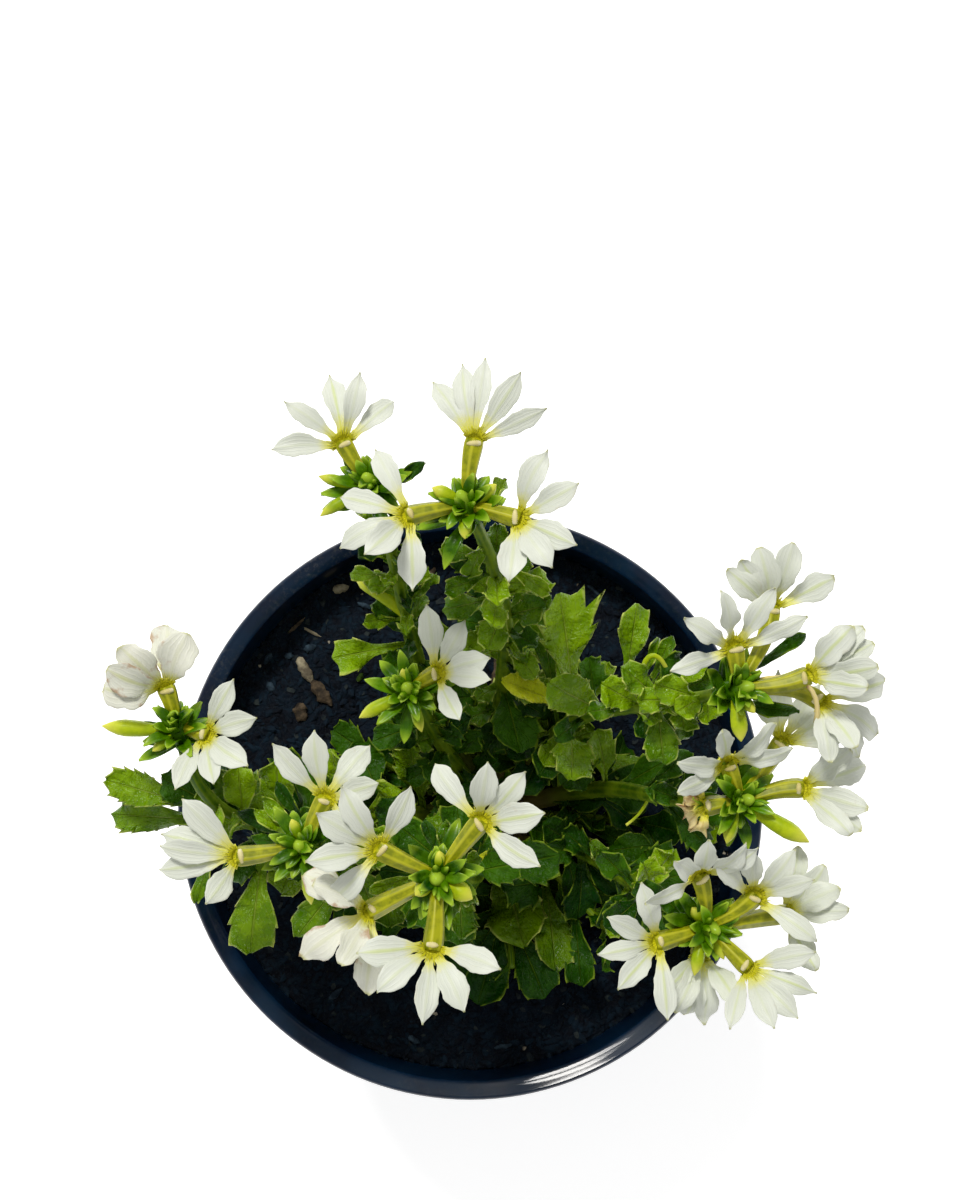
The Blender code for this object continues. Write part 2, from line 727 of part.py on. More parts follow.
def make_head(name, stem, course, dice, space):
    """The pieces of one flower head: its core, then flowers, buds and bracts round it."""
    owner = "head_" + name
    middle = Vector(stem["head"]) * MM
    foot = bezier(*course, 1.0)
    axis = (middle - foot).normalized()
    base = foot + axis * GAP
    top = foot + axis * CORE_LENGTH
    core = limb_mesh([base, base.lerp(top, 0.5), top],
                     [SHOOT_TIP_RADIUS, CORE_RADIUS, CORE_RADIUS * CORE_TIP_SHARE], LIMB_SIDES)
    space.fill(owner, core)
    pieces = []
    for flower in stem["flowers"]:
        pieces += flower_pieces(owner, middle, flower, dice, space)
    for azimuth, slope, length in stem["buds"]:
        towards = heading(math.radians(azimuth), math.radians(slope))
        root = middle - axis * BUD_DEPTH
        points = [root]
        for share, _ in BUD_OUTLINE[1:]:
            points.append(root + towards * (length * MM * share + BUD_STALK))
        radii = [BUD_RADIUS * share for _, share in BUD_OUTLINE]
        mesh = limb_mesh(points, radii, BUD_SIDES)
        if space.is_free(owner, mesh, root=root):
            space.fill(owner, mesh, root=root)
            pieces.append((mesh, Matrix()))
    bract = blade_mesh(BRACT_LENGTH, BRACT_WIDTH, BRACT_RINGS,
                       PETAL_THICKNESS, BRACT_RISE, 0.0, BRACT_FOLD)
    azimuth = dice.uniform(0, 2 * math.pi)
    for index in range(BRACT_COUNT):
        share = index / BRACT_COUNT
        azimuth += GOLDEN_ANGLE
        root = base.lerp(top, 0.15 + 0.65 * share)
        lowest, steepest = BRACT_SLOPES
        largest, smallest = BRACT_SCALES
        towards = heading(azimuth, math.radians(lowest + (steepest - lowest) * share))
        scale = largest + (smallest - largest) * share
        matrix = frame_at(root, towards, UP + axis) @ Matrix.Scale(scale, 4)
        if space.is_free(owner, bract, matrix):
            space.fill(owner, bract, matrix, root=Vector())
            pieces.append((bract, matrix))
    return core, pieces


def flower_pieces(owner, middle, flower, dice, space):
    """One flower: a tube out of the head and a fan of petals at its mouth."""
    azimuth, reach, drop, turn, spread, kind = flower
    azimuth = math.radians(azimuth)
    fan_azimuth = azimuth + math.radians(turn)
    size = dice.uniform(*FAN_SIZES)
    lift = TUBE_LIFT - drop * MM
    fan = FANS[kind]
    petals = fan_mesh(PETAL_REACH * fan["reach"] * size, math.radians(spread),
                      fan["cup"] * MM, fan["droop"] * MM)
    for shift, tilt in FLOWER_NUDGES:
        mouth = middle + heading(azimuth) * reach * MM + UP * (lift + shift * MM)
        throat = frame_at(mouth, heading(fan_azimuth, math.radians(fan["pitch"] + tilt)), UP)
        if space.is_free(owner, petals, throat, root=None):
            break
    else:
        return []
    root = middle - UP * TUBE_DROP
    bend = root.lerp(mouth, TUBE_BEND) + UP * TUBE_ARCH
    end = mouth + heading(fan_azimuth) * TUBE_LIP
    tube = limb_mesh([root, bend, end], [TUBE_ROOT_RADIUS, TUBE_RADIUS * TUBE_WAIST, TUBE_RADIUS],
                     LIMB_SIDES)
    space.fill(owner, tube, root=root)
    space.fill(owner, petals, throat, root=throat.translation)
    return [(tube, Matrix()), (petals, throat)]


def build():
    clear_scene()
    collection = make_collection("potted_fan_flower")
    cutters = make_collection("cutters")
    space = Space()

    pot = make_pot(collection, cutters)
    mix = make_potting_mix(collection)
    crown = make_crown(collection)
    for thing in (pot, mix, crown):
        space.fill(thing.name, evaluated_mesh(thing))

    shapes = leaf_shapes()
    courses = {name: stem_course(stem) for name, stem in STEMS.items()}
    cores = {}
    for name, stem in STEMS.items():
        course = courses[name]
        bare = stem["bare"]
        points = course_points(course, 0.0, bare, STEM_POINTS)
        mesh = limb_mesh(points, taper(STEM_RADIUS, STEM_TIP_RADIUS, STEM_POINTS), LIMB_SIDES)
        mesh.name = "stem_" + name
        add_object("stem_" + name, mesh, collection, "stem")
        space.fill("stem_" + name, mesh)
        start = split_share(course, bare, GAP)
        points = course_points(course, start, 1.0, SHOOT_POINTS)
        radii = taper(SHOOT_RADIUS, SHOOT_TIP_RADIUS, SHOOT_POINTS)
        cores[name] = limb_mesh(points, radii, LIMB_SIDES)
        space.fill("shoot_" + name, cores[name])
    low_courses = {name: low_course(*shoot) for name, shoot in LOW_SHOOTS.items()}
    for name, course in low_courses.items():
        points = course_points(course, 0.0, 1.0, LOW_SHOOT_POINTS)
        radii = taper(LOW_SHOOT_RADIUS, LOW_SHOOT_RADIUS * LOW_SHOOT_TAPER, LOW_SHOOT_POINTS)
        cores[name] = limb_mesh(points, radii, LIMB_SIDES)
        space.fill("shoot_" + name, cores[name])

    for index, (name, stem) in enumerate(STEMS.items()):
        dice = random.Random(100 + index)
        core, pieces = make_head(name, stem, courses[name], dice, space)
        fuse("head_" + name, core, pieces, collection, "head")

    for index, name in enumerate(cores):
        dice = random.Random(200 + index)
        if name in STEMS:
            course = courses[name]
            leaves = dict(SHOOT_LEAVES, first=STEMS[name]["bare"] + SHOOT_LEAVES["first"])
        else:
            course = low_courses[name]
            leaves = LOW_SHOOT_LEAVES
        pieces = leaf_pieces("shoot_" + name, course, **leaves, shapes=shapes, space=space, dice=dice)
        fuse("shoot_" + name, cores[name], pieces, collection, "shoot")


build()
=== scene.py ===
"""The looks of a white fan flower in a round nursery pot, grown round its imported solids.

Metres, +Z up. The origin is the middle of the pot's flat underside. +Y points to the back
of the plant, which is the top of the photograph, and +X to its right.

The stems, shoots and flower heads stand where the solids have them. Each one is grown again
here by the same rules and carried finer: toothed leaves, bracts, buds, ribbed flower tubes
and five-petalled fans, over a turned pot filled with bark-based mix.
"""

import json
import math
import random

import bmesh
import bpy
import numpy as np
from mathutils import Matrix, Vector
from mathutils.bvhtree import BVHTree

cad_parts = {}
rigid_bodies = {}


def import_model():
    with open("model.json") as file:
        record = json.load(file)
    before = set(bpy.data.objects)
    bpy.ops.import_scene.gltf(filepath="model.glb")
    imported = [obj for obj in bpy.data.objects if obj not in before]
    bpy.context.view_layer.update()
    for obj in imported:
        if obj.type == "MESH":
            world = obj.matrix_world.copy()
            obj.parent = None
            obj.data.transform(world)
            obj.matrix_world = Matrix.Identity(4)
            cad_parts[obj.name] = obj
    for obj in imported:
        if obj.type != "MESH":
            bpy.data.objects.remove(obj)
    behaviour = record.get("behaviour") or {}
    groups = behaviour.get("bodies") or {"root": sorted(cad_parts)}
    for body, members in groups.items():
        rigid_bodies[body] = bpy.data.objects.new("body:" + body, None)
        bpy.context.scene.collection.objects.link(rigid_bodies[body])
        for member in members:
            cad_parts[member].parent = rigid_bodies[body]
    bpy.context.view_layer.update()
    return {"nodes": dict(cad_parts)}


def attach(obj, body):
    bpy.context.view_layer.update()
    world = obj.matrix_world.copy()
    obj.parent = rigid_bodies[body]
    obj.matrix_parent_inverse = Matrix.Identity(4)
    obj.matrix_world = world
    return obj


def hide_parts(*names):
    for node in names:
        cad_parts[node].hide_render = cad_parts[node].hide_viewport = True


MM = 0.001
UP = Vector((0, 0, 1))
GOLDEN_ANGLE = math.radians(137.5)
BODY = "root"

# Pot, as in the solids.
RIM_RADIUS = 70 * MM
POT_HEIGHT = 122 * MM
BASE_RADIUS = 50 * MM
WALL = 1.8 * MM
FLOOR = 2.2 * MM
LIP_WIDTH = 4.5 * MM
LIP_DEPTH = 4 * MM
LIP_CROWN = 1.4 * MM
LIP_SLOPE = math.radians(20.5)
COLLAR_DEPTH = 18 * MM
COLLAR_STEP = 1.7 * MM
FOOT_DEPTH = 4 * MM
FOOT_STEP = 0.8 * MM
DRAIN_COUNT = 8
DRAIN_RADIUS = 4.5 * MM
DRAIN_CIRCLE = 39 * MM

# Potting mix and the crown that stands on it.
MIX_LEVEL = POT_HEIGHT - 16 * MM
EYE = Vector((0, 0, POT_HEIGHT + 425 * MM))
CROWN_PLACE = Vector((7 * MM, -3 * MM, MIX_LEVEL + 0.3 * MM))
CROWN_HEIGHT = 18 * MM
CROWN_RADIUS = 5.6 * MM
CROWN_FLARE = 3.2 * MM
CROWN_LEAN = Vector((1.2 * MM, 0.8 * MM, 0))
CROWN_TAPER = 0.12
CROWN_FLARE_SHARE = 0.22
CROWN_SHOULDER_SHARE = 0.80

# Stems and shoots.
STEM_RADIUS = 2.3 * MM
STEM_TIP_RADIUS = 1.87 * MM
SHOOT_TIP_RADIUS = 1.2 * MM
# The low shoots' leaves: where they begin and end, their size, and the share that takes the deep green, the shaded leaf
# finish that stands for painted shade.
LOW_SHOOT_LEAFY = (0.25, 1.0, 1.08, 0.95)
LOW_SHOOT_RADIUS = 1.3 * MM
STEM_BEND = 0.36
LIMB_SPACING = 0.8 * MM

# Leaves: toothed, widest past the middle, with a pale margin.
LEAF_LENGTH = 22.5 * MM
LEAF_WIDTH = 13.5 * MM
LEAF_SPACING = 3.0 * MM
LEAF_THICKNESS = 0.5 * MM
LEAF_TRIES = ((0.0, 1.0), (0.35, 1.0), (-0.35, 1.0), (0.7, 0.9), (-0.7, 0.9), (0.2, 0.75), (-0.5, 0.75),
              (1.1, 0.75), (-1.1, 0.75), (0.0, 0.58), (0.6, 0.58), (-0.6, 0.58))
TOOTH_WAYS = (0.0, 0.34, 0.62, 0.80, 0.92)
TOOTH_DEPTHS = (0.0, 0.20, 0.60, 1.0, 0.42)
LEAF_COLUMNS = np.array([-1.0, -0.90, -0.62, -0.30, -0.07, 0.07, 0.30, 0.62, 0.90, 1.0])

# Flower heads.
CORE_LENGTH = 9 * MM
HEAD_SHARE = 0.6
BRACT_COUNT = 25
BRACT_LENGTH = 9.8 * MM
BRACT_WIDTH = 2.9 * MM
YOUNG_BUD_COUNT = 6
YOUNG_BUD_RADIUS = 0.8 * MM
TUBE_RADIUS = 1.9 * MM
TUBE_ROOT_RADIUS = 0.95 * MM
TUBE_LIFT = 2.5 * MM
TUBE_DROP = 1.5 * MM
PETAL_COUNT = 5
PETAL_REACH = 15 * MM
PETAL_WIDTH = 5.25 * MM
PETAL_THICKNESS = 0.22 * MM
PETAL_COLUMNS = np.array([-1.0, -0.86, -0.6, -0.34, -0.12, 0.12, 0.34, 0.6, 0.86, 1.0])
PETAL_ROWS = np.concatenate([np.linspace(0.0, 0.9, 19), [0.93, 0.955, 0.975, 1.0]])
THROAT_RADIUS = 2.5 * MM
THROAT_DEPTH = 1.0 * MM
FRINGE_COUNT = 24

# How a flower holds its petals: the share of the full reach, how far each petal bends up and
# back again in degrees, how much its edges wave, how broad it is and how blunt its end.
FANS = {
    "open": {"reach": 1.0, "rise": 24, "curl": -46, "wave": 0.45, "broad": 1.0, "blunt": 0.0},
    "slim": {"reach": 1.0, "rise": 24, "curl": -46, "wave": 0.45, "broad": 0.84, "blunt": 0.05},
    "ragged": {"reach": 1.0, "rise": 24, "curl": -50, "wave": 1.4, "broad": 0.80, "blunt": 0.15},
    "spent": {"reach": 1.0, "rise": 26, "curl": -60, "wave": 0.9, "broad": 0.96, "blunt": 0.65},
    "wilted": {"reach": 0.96, "rise": 34, "curl": -80, "wave": 0.9, "broad": 1.35, "blunt": 0.8},
    "crumpled": {"reach": 0.96, "rise": 34, "curl": -70, "wave": 1.7, "broad": 1.08, "blunt": 0.7},
    "dried": {"reach": 0.44, "rise": 44, "curl": -190, "wave": 2.4, "broad": 0.9, "blunt": 0.5},
}

# The flowering stems. crown: the azimuth in degrees and the height in mm where the stem leaves
# the crown. rise: its slope there. head: the middle of its flower head, in mm. lean: how far
# the tip leans from upright, and towards which azimuth. leafy: the shares of the stem where its
# leaves begin and end, their size, and how many take the deep green, the shaded copy of the leaf
# finish that stands for painted shade. flowers: the azimuth of the tube, its reach and its drop from the head in mm,
# the turn of the fan from that azimuth, its spread, its pitch, and its state. buds: azimuth, slope,
# length and radius in mm.
STEMS = {
    "back": {
        "crown": (94, 13), "rise": 30, "head": (-1, 56, 214), "lean": (36, 122), "leafy": (0.12, 0.86, 0.62, 0.35),
        "flowers": ((82, 11.5, 0, -6, 104, 6, "slim"), (-17, 10.0, 0, 0, 148, 6, "open"),
                    (193, 10.8, 0, 4, 154, 6, "open")),
        "buds": ((150, 22, 6, 1.5), (-96, 24, 5, 1.3), (34, 24, 5.5, 1.4)),
    },
    "back_left": {
        "crown": (130, 9.5), "rise": 26, "head": (-20, 62, 202), "lean": (22, 115), "leafy": (0.10, 0.84, 0.46, 0.55),
        "flowers": ((123, 9.0, 0, -6, 148, 6, "slim"),),
        "buds": ((172, 10, 8.5, 1.2), (208, 5, 9.5, 1.2), (20, 30, 4.5, 1.1)),
    },
    "left": {
        "crown": (180, 13), "rise": 12, "head": (-60, 15, 184), "lean": (60, 102), "leafy": (0.12, 0.84, 0.88, 0.62),
        "flowers": ((105, 7.5, 0, 8, 112, 14, "wilted"), (-15, 6.0, 0, -12, 158, 6, "open")),
        "buds": ((178, 8, 13.5, 1.75), (222, 24, 5, 1.1)),
    },
    "front_left": {
        "crown": (214, 10), "rise": 30, "head": (-33, -9, 196), "lean": (10, 150), "leafy": (0.12, 0.80, 0.78, 0.65),
        "flowers": ((189, 12.0, 0, -5, 112, 6, "open"), (64, 10.0, 0, -6, 150, 6, "open")),
        "buds": ((112, 34, 5, 1.1), (276, -16, 10, 1.3)),
    },
    "front": {
        "crown": (250, 14), "rise": 40, "head": (-6, -14, 217), "lean": (10, 240), "leafy": (0.10, 0.64, 0.92, 0.95),
        "flowers": ((155, 11.5, 0, -5, 158, 6, "open"), (52, 12.4, 0, -3, 158, 6, "open"),
                    (266, 12.4, 0, -6, 150, 6, "open"), (207, 14.0, 7, 0, 124, 14, "crumpled")),
        "buds": ((-36, 20, 6, 1.8), (218, 34, 4.5, 1.5), (88, 40, 4, 1.2)),
    },
    "middle": {
        "crown": (146, 16.5), "rise": 52, "head": (-13, 23, 174), "lean": (14, 130), "leafy": (0.14, 0.76, 0.62, 0.80),
        "flowers": ((31, 6.5, 0, -10, 150, 6, "open"),),
        "buds": ((206, 4, 10, 1.5), (286, 6, 7, 1.2), (110, 36, 4, 1.0)),
    },
    "back_right": {
        "crown": (58, 10), "rise": 34, "head": (51, 21, 210), "lean": (44, 10), "leafy": (0.10, 0.86, 0.66, 0.35),
        "flowers": ((96, 7.5, 0, 14, 168, 6, "ragged"), (65, 17.0, 5, 22, 108, 6, "spent"),
                    (10, 12.5, 0, 16, 92, 6, "spent"), (-6, 16.0, 6, -36, 104, 6, "spent")),
        "buds": ((-84, 10, 8, 1.6), (-50, 30, 4.5, 1.1)),
    },
    "right": {
        "crown": (17, 13.5), "rise": 8, "head": (53, 0, 198), "lean": (30, 5), "leafy": (0.10, 0.82, 0.74, 0.90),
        "flowers": ((112, 7.0, 0, 7, 160, 18, "ragged"), (12, 11.5, 1, -16, 104, 6, "spent"),
                    (52, 14.0, 6, 10, 104, 6, "open"), (190, 6.6, 2, 0, 130, -10, "dried")),
        "buds": ((-32, 8, 14, 1.8), (-108, 14, 7, 1.4)),
    },
    "front_right": {
        "crown": (-24, 10), "rise": 12, "head": (47, -25, 192), "lean": (28, -25), "leafy": (0.10, 0.82, 0.74, 0.90),
        "flowers": ((195, 10.2, 0, 0, 152, 6, "slim"), (101, 10.0, -3, 14, 142, 26, "ragged"),
                    (34, 10.7, 0, 18, 168, 6, "slim"), (-46, 10.0, 0, 0, 102, 6, "slim"),
                    (8, 16.0, 7, 0, 100, 6, "spent"), (262, 5.0, 9, 0, 92, 6, "spent")),
        "buds": ((128, 36, 4, 1.1), (-106, 10, 8, 1.3), (-60, 18, 5.5, 1.2)),
    },
}

# The petals of the flowers that the photograph shows well: how far each one turns from its
# tube's azimuth, in degrees, and how far it reaches from the throat as seen from above, in mm.
PETALS = {
    "back": (
        ((41, 14.5), (19, 15.5), (-1, 16.7), (-27, 15.8), (-57, 14.9)),
        ((75, 13), (39, 13.3), (-8, 13.2), (-41, 12.8), (-77, 13.1)),
        ((82, 14), (29, 11.9), (7, 15.2), (-27, 14.4), (-74, 15.5)),
    ),
    "back_left": (
        ((67, 14.1), (23, 13.9), (-22, 14.7), (-42, 14), (-81, 14.1)),
    ),
    "left": (
        ((66, 11.9), (46, 12.2), (26, 9.6), (-17, 13.6), (-40, 10.5)),
        ((74, 12.6), (29, 12.4), (-18, 11.7), (-59, 11.3), (-97, 12.3)),
    ),
    "front_left": (
        ((40, 9.2), (2, 17), (-14, 15.7), (-27, 18.2), (-54, 15.9)),
        ((66, 14.8), (29, 14), (-11, 14.2), (-50, 12.3), (-93, 8.6)),
    ),
    "front": (
        ((72, 13.8), (33, 13.8), (-5, 13.9), (-37, 13.9), (-83, 12.9)),
        ((77, 14.2), (34, 10.3), (-1, 13.2), (-42, 12.2), (-82, 13.3)),
        ((71, 12.9), (29, 13), (-11, 13.8), (-42, 13), (-84, 13.7)),
        ((60, 16.4), (33, 12), (4, 15.8), (-46, 11.6), (-56, 14.4)),
    ),
    "middle": (
        ((65, 14.3), (28, 12.8), (-13, 12.5), (-43, 11.7), (-86, 11.7)),
    ),
    "back_right": (
        ((103, 13.8), (59, 7), (22, 8.2), (-41, 13), (-73, 14.1)),
        ((72, 10.6), (55, 11.9), (39, 12.3), (10, 13.3), (-36, 14.4)),
        ((38, 12.4), (26, 14), (14, 13.9), (2, 13), (-20, 7.9)),
        ((18, 14.8), (-19, 14.4), (-44, 14.6), (-58, 11.7), (-81, 9.4)),
    ),
    "right": (
        ((83, 12.8), (49, 12.5), (7, 10.6), (-54, 8.3), (-85, 8.7)),
        ((23, 10.4), (6, 14.8), (-26, 11.7), (-46, 13.6), (-65, 7.8)),
        None,
        None,
    ),
    "front_right": (
        ((75, 14.7), (32, 12.8), (-4, 13.4), (-37, 12.5), (-83, 10.7)),
        ((87, 13.3), (39, 9.9), (-7, 10.6), (-32, 8.8), (-62, 8.8)),
        ((111, 11.8), (59, 10.3), (24, 11.7), (-16, 8.5), (-71, 14.3)),
        ((54, 13.2), (24, 14), (1, 13.8), (-26, 12.5), (-58, 12.3)),
        ((71, 13.9), (48, 12.7), (17, 10.2), (-8, 7.3), (-68, 5.6)),
        ((28, 11), (12, 14.5), (-4, 14), (-20, 11), (-38, 8)),
    ),
}

# The leaves that the photograph shows: the share of the limb where each one grows, its tip and
# its width in mm, its teeth, how deep they are cut, how far it arches in radians, and its tone.
# The bright tone takes the lit copy of the leaf finish and the deep tone the shaded copy, a painted
# shade; the yellow tone is a yellowing leaf.
SHOWN_LEAVES = {
    "back_right": (
        (0.42, (19.5, 44.8, 163.1), 13, 4, 0.55, 0.35, "bright"),
        (0.7, (34, 39.8, 188.2), 6.7, 3, 0.2, 0.25, "bright"),
        (0.6, (16.4, 24.1, 181.2), 10.3, 6, 0.1, 0.35, "bright"),
        (0.5, (6.9, 25.4, 171.1), 6.4, 7, 0.08, 0.25, "yellow"),
        (0.38, (22.4, 4.6, 155.2), 10.2, 4, 0.26, 0.5, "bright"),
        (0.3, (15.5, 44.5, 153.7), 7.1, 4, 0.12, 0.3, "bright"),
        (0.78, (40.6, 32.9, 191.9), 3, 2, 0.1, 0.2, "bright"),
        (0.74, (38.5, 32.9, 187.1), 2.2, 2, 0.06, 0.2, "bright"),
        (0.78, (26.4, 23.2, 191.9), 6.8, 4, 0.18, 0.4, "bright"),
        (0.84, (38.6, 7.2, 192.5), 7.2, 3, 0.14, 0.5, "bright"),
        (0.91, (41.9, 13.7, 198.8), 6.3, 4, 0.14, 0.4, "bright"),
        (0.8, (35, 12.5, 188.8), 4.9, 3, 0.12, 0.5, "deep"),
        (0.86, (46.5, 28.6, 197.4), 4.7, 3, 0.12, 0.3, "bright"),
        (0.9, (38.5, 19.4, 201.9), 5.5, 4, 0.14, 0.4, "bright"),
        (0.97, (65.4, 31.8, 203.8), 2.7, 2, 0.04, 0.2, "deep"),
        (0.95, (64.2, 17.1, 202.1), 3.1, 2, 0.06, 0.2, "deep"),
        (0.86, (29.8, 25.9, 199.4), 6.3, 4, 0.16, 0.4, "bright"),
        (0.73, (23.9, 17.9, 186.1), 4.5, 3, 0.14, 0.5, "bright"),
        (0.9, (32.7, 19.4, 201.9), 5.8, 4, 0.14, 0.4, "bright"),
        (0.96, (35.6, 22.3, 205.9), 6.2, 4, 0.14, 0.4, "bright"),
        (0.97, (39.7, 16.9, 204.8), 5.4, 3, 0.12, 0.4, "bright"),
        (0.98, (46.2, 15.1, 202.6), 4.3, 3, 0.12, 0.3, "bright"),
        (0.8, (49.4, 25, 191.8), 4.4, 3, 0.1, 0.4, "bright"),
        (0.24, (29.5, 9.1, 142.3), 6.9, 3, 0.1, 0.4, "deep"),
        (0.16, (20.8, 25.5, 135.6), 7.9, 3, 0.1, 0.4, "deep"),
    ),
    "back": (
        (0.34, (11.1, 10.7, 149.9), 11.7, 4, 0.14, 0.45, "deep"),
        (0.8, (16.6, 44.1, 188.4), 5.7, 3, 0.12, 0.3, "bright"),
        (0.7, (3.6, 30.9, 182.3), 7, 4, 0.16, 0.5, "bright"),
        (0.66, (15.4, 40, 182.2), 7, 4, 0.12, 0.3, "bright"),
        (0.74, (-5.9, 38.9, 184.3), 6.1, 3, 0.14, 0.35, "bright"),
        (0.88, (-5.9, 49.8, 198.3), 4.7, 3, 0.14, 0.3, "bright"),
        (0.84, (-5.1, 41.9, 194.4), 4.4, 3, 0.14, 0.3, "bright"),
        (0.9, (15.7, 41.5, 194.2), 3.6, 3, 0.1, 0.3, "bright"),
        (0.94, (-0.1, 44.2, 200.1), 4.3, 3, 0.12, 0.3, "bright"),
        (0.97, (6.8, 63, 203.9), 2.3, 2, 0.04, 0.2, "bright"),
    ),
    "back_left": (
        (0.5, (-31, 31.6, 151.6), 7.6, 2, 0.24, 0.2, "bright"),
        (0.58, (-23.6, 39.3, 156.4), 4, 2, 0.12, 0.2, "bright"),
        (0.72, (-26.1, 48.8, 167.2), 3.6, 2, 0.08, 0.25, "bright"),
        (0.62, (-7.4, 49.1, 162), 2.6, 2, 0.06, 0.2, "bright"),
        (0.3, (-0.1, 23.5, 142), 10.1, 3, 0.06, 0.4, "deep"),
        (0.86, (-24.1, 61.8, 178.8), 2.9, 2, 0.08, 0.3, "bright"),
        (0.99, (-9.3, 66.9, 200), 2.7, 2, 0.04, 0.2, "deep"),
    ),
    "middle": (
        (0.6, (-11.9, 12.9, 150.8), 6.7, 4, 0.14, 0.35, "bright"),
        (0.72, (-21.8, 12.8, 154.3), 6.2, 3, 0.12, 0.4, "deep"),
    ),
    "left": (
        (0.74, (-77.8, 4.3, 167.1), 7.7, 6, 0.18, 0.35, "bright"),
        (0.68, (-78.6, -3, 157.6), 7.5, 6, 0.16, 0.45, "bright"),
        (0.5, (-33.8, 7.8, 152.8), 8, 3, 0.12, 0.4, "deep"),
        (0.6, (-45, 1.8, 162.5), 8.3, 3, 0.12, 0.4, "bright"),
        (0.44, (-26.6, 5.6, 148.3), 7.7, 3, 0.12, 0.4, "deep"),
        (0.66, (-54.9, 6.5, 163.1), 6.9, 3, 0.14, 0.4, "bright"),
        (0.8, (-58.1, 0, 169.3), 6, 3, 0.14, 0.4, "bright"),
        (0.56, (-37.4, -17.4, 154.4), 7.5, 3, 0.14, 0.4, "deep"),
        (0.48, (-30.7, -22, 149.3), 7.6, 3, 0.14, 0.4, "deep"),
        (0.62, (-47.6, -32.8, 158), 11, 3, 0.16, 0.5, "bright"),
        (0.58, (-42, 8.2, 160.9), 8.7, 3, 0.1, 0.3, "bright"),
        (0.7, (-50, 7.1, 164.1), 7.8, 3, 0.12, 0.4, "bright"),
        (0.78, (-58.4, -21.6, 163.9), 3.5, 2, 0.1, 0.3, "bright"),
    ),
    "front_left": (
        (0.88, (-39.8, 3.7, 183.1), 3.1, 2, 0.06, 0.3, "deep"),
        (0.9, (-42.5, 0.4, 183.9), 3.1, 2, 0.06, 0.3, "bright"),
        (0.86, (-45.2, -7.8, 177.3), 3.3, 2, 0.08, 0.3, "deep"),
        (0.84, (-28.8, -21.4, 178.6), 3.3, 3, 0.1, 0.3, "bright"),
        (0.94, (-25.4, -2.4, 185.4), 2.9, 2, 0.06, 0.3, "deep"),
        (0.62, (-37.5, -29.4, 157.8), 8.4, 3, 0.1, 0.4, "bright"),
        (0.84, (-48.5, -2.2, 174.6), 3.8, 2, 0.05, 0.2, "deep"),
        (0.9, (-44.1, -2.2, 183.9), 3.5, 2, 0.05, 0.2, "bright"),
    ),
    "low_front": (
        (0.18, (12.6, -34, 125.7), 14.3, 4, 0.1, 0.4, "bright"),
        (0.6, (17.6, -46.4, 121.7), 10.6, 4, 0.14, 0.4, "deep"),
        (0.45, (1.8, -47.9, 120.7), 12, 4, 0.1, 0.45, "deep"),
    ),
    "low_front_right": (
        (0.28, (20.1, -39.7, 123.5), 11, 5, 0.1, 0.4, "bright"),
        (0.62, (26.1, -43.5, 122.4), 7.7, 3, 0.14, 0.4, "deep"),
    ),
    "front": (
        (0.62, (-1.7, -27.9, 181.5), 6.2, 6, 0.14, 0.35, "bright"),
        (0.66, (4.6, -12.1, 169.5), 3.4, 2, 0.04, 0.3, "yellow"),
        (0.97, (-4.8, -3.9, 208.7), 2.7, 2, 0.05, 0.2, "bright"),
        (0.97, (-8.8, -3.6, 207.7), 2.7, 2, 0.05, 0.2, "deep"),
        (0.98, (2.2, -10.8, 209.7), 2.7, 2, 0.05, 0.2, "bright"),
        (0.98, (-0.6, -15.9, 209.7), 2.5, 2, 0.05, 0.2, "deep"),
        (0.97, (1.1, -19.6, 206.7), 2.7, 2, 0.06, 0.2, "bright"),
        (0.98, (-19.1, -16.7, 208.7), 2.7, 2, 0.05, 0.2, "bright"),
        (0.97, (-12, -23.3, 206.7), 2.7, 2, 0.05, 0.2, "deep"),
        (0.97, (-2.9, -22, 206.7), 2.7, 2, 0.05, 0.2, "bright"),
    ),
    "right": (
        (0.1, (43.1, 5.8, 132.2), 8.9, 2, 0.03, 0.3, "deep"),
        (0.06, (31.1, 0, 129), 7.1, 2, 0.05, 0.3, "deep"),
        (0.55, (48.5, 10.6, 154.9), 5.8, 2, 0.06, 0.3, "deep"),
        (0.3, (40.8, 0, 137.6), 7.9, 2, 0.04, 0.4, "deep"),
        (0.4, (44.6, 9, 146), 7.7, 3, 0.08, 0.4, "deep"),
        (0.82, (37.2, 2.5, 182), 4.9, 3, 0.08, 0.4, "deep"),
        (0.95, (42.9, -2.4, 189.3), 4.8, 3, 0.08, 0.4, "deep"),
    ),
    "low_right": (
        (0.8, (48.8, -7.3, 135.5), 8.8, 2, 0.05, 0.4, "deep"),
        (0.5, (28.5, -6.9, 128.5), 7.1, 2, 0.05, 0.4, "deep"),
        (0.35, (40.3, -11.8, 122.3), 7.2, 3, 0.06, 0.4, "deep"),
    ),
    "front_right": (
        (0.2, (34.7, -21.7, 125.5), 6.2, 2, 0.05, 0.3, "deep"),
        (0.3, (41.4, -10.3, 135.4), 7.4, 3, 0.06, 0.4, "deep"),
        (0.66, (27.8, -11, 164.2), 6.5, 3, 0.08, 0.4, "deep"),
        (0.86, (34, -17.1, 179.8), 5.4, 3, 0.1, 0.4, "deep"),
        (0.96, (38.6, -19.2, 186.1), 4.1, 3, 0.1, 0.3, "deep"),
    ),
}

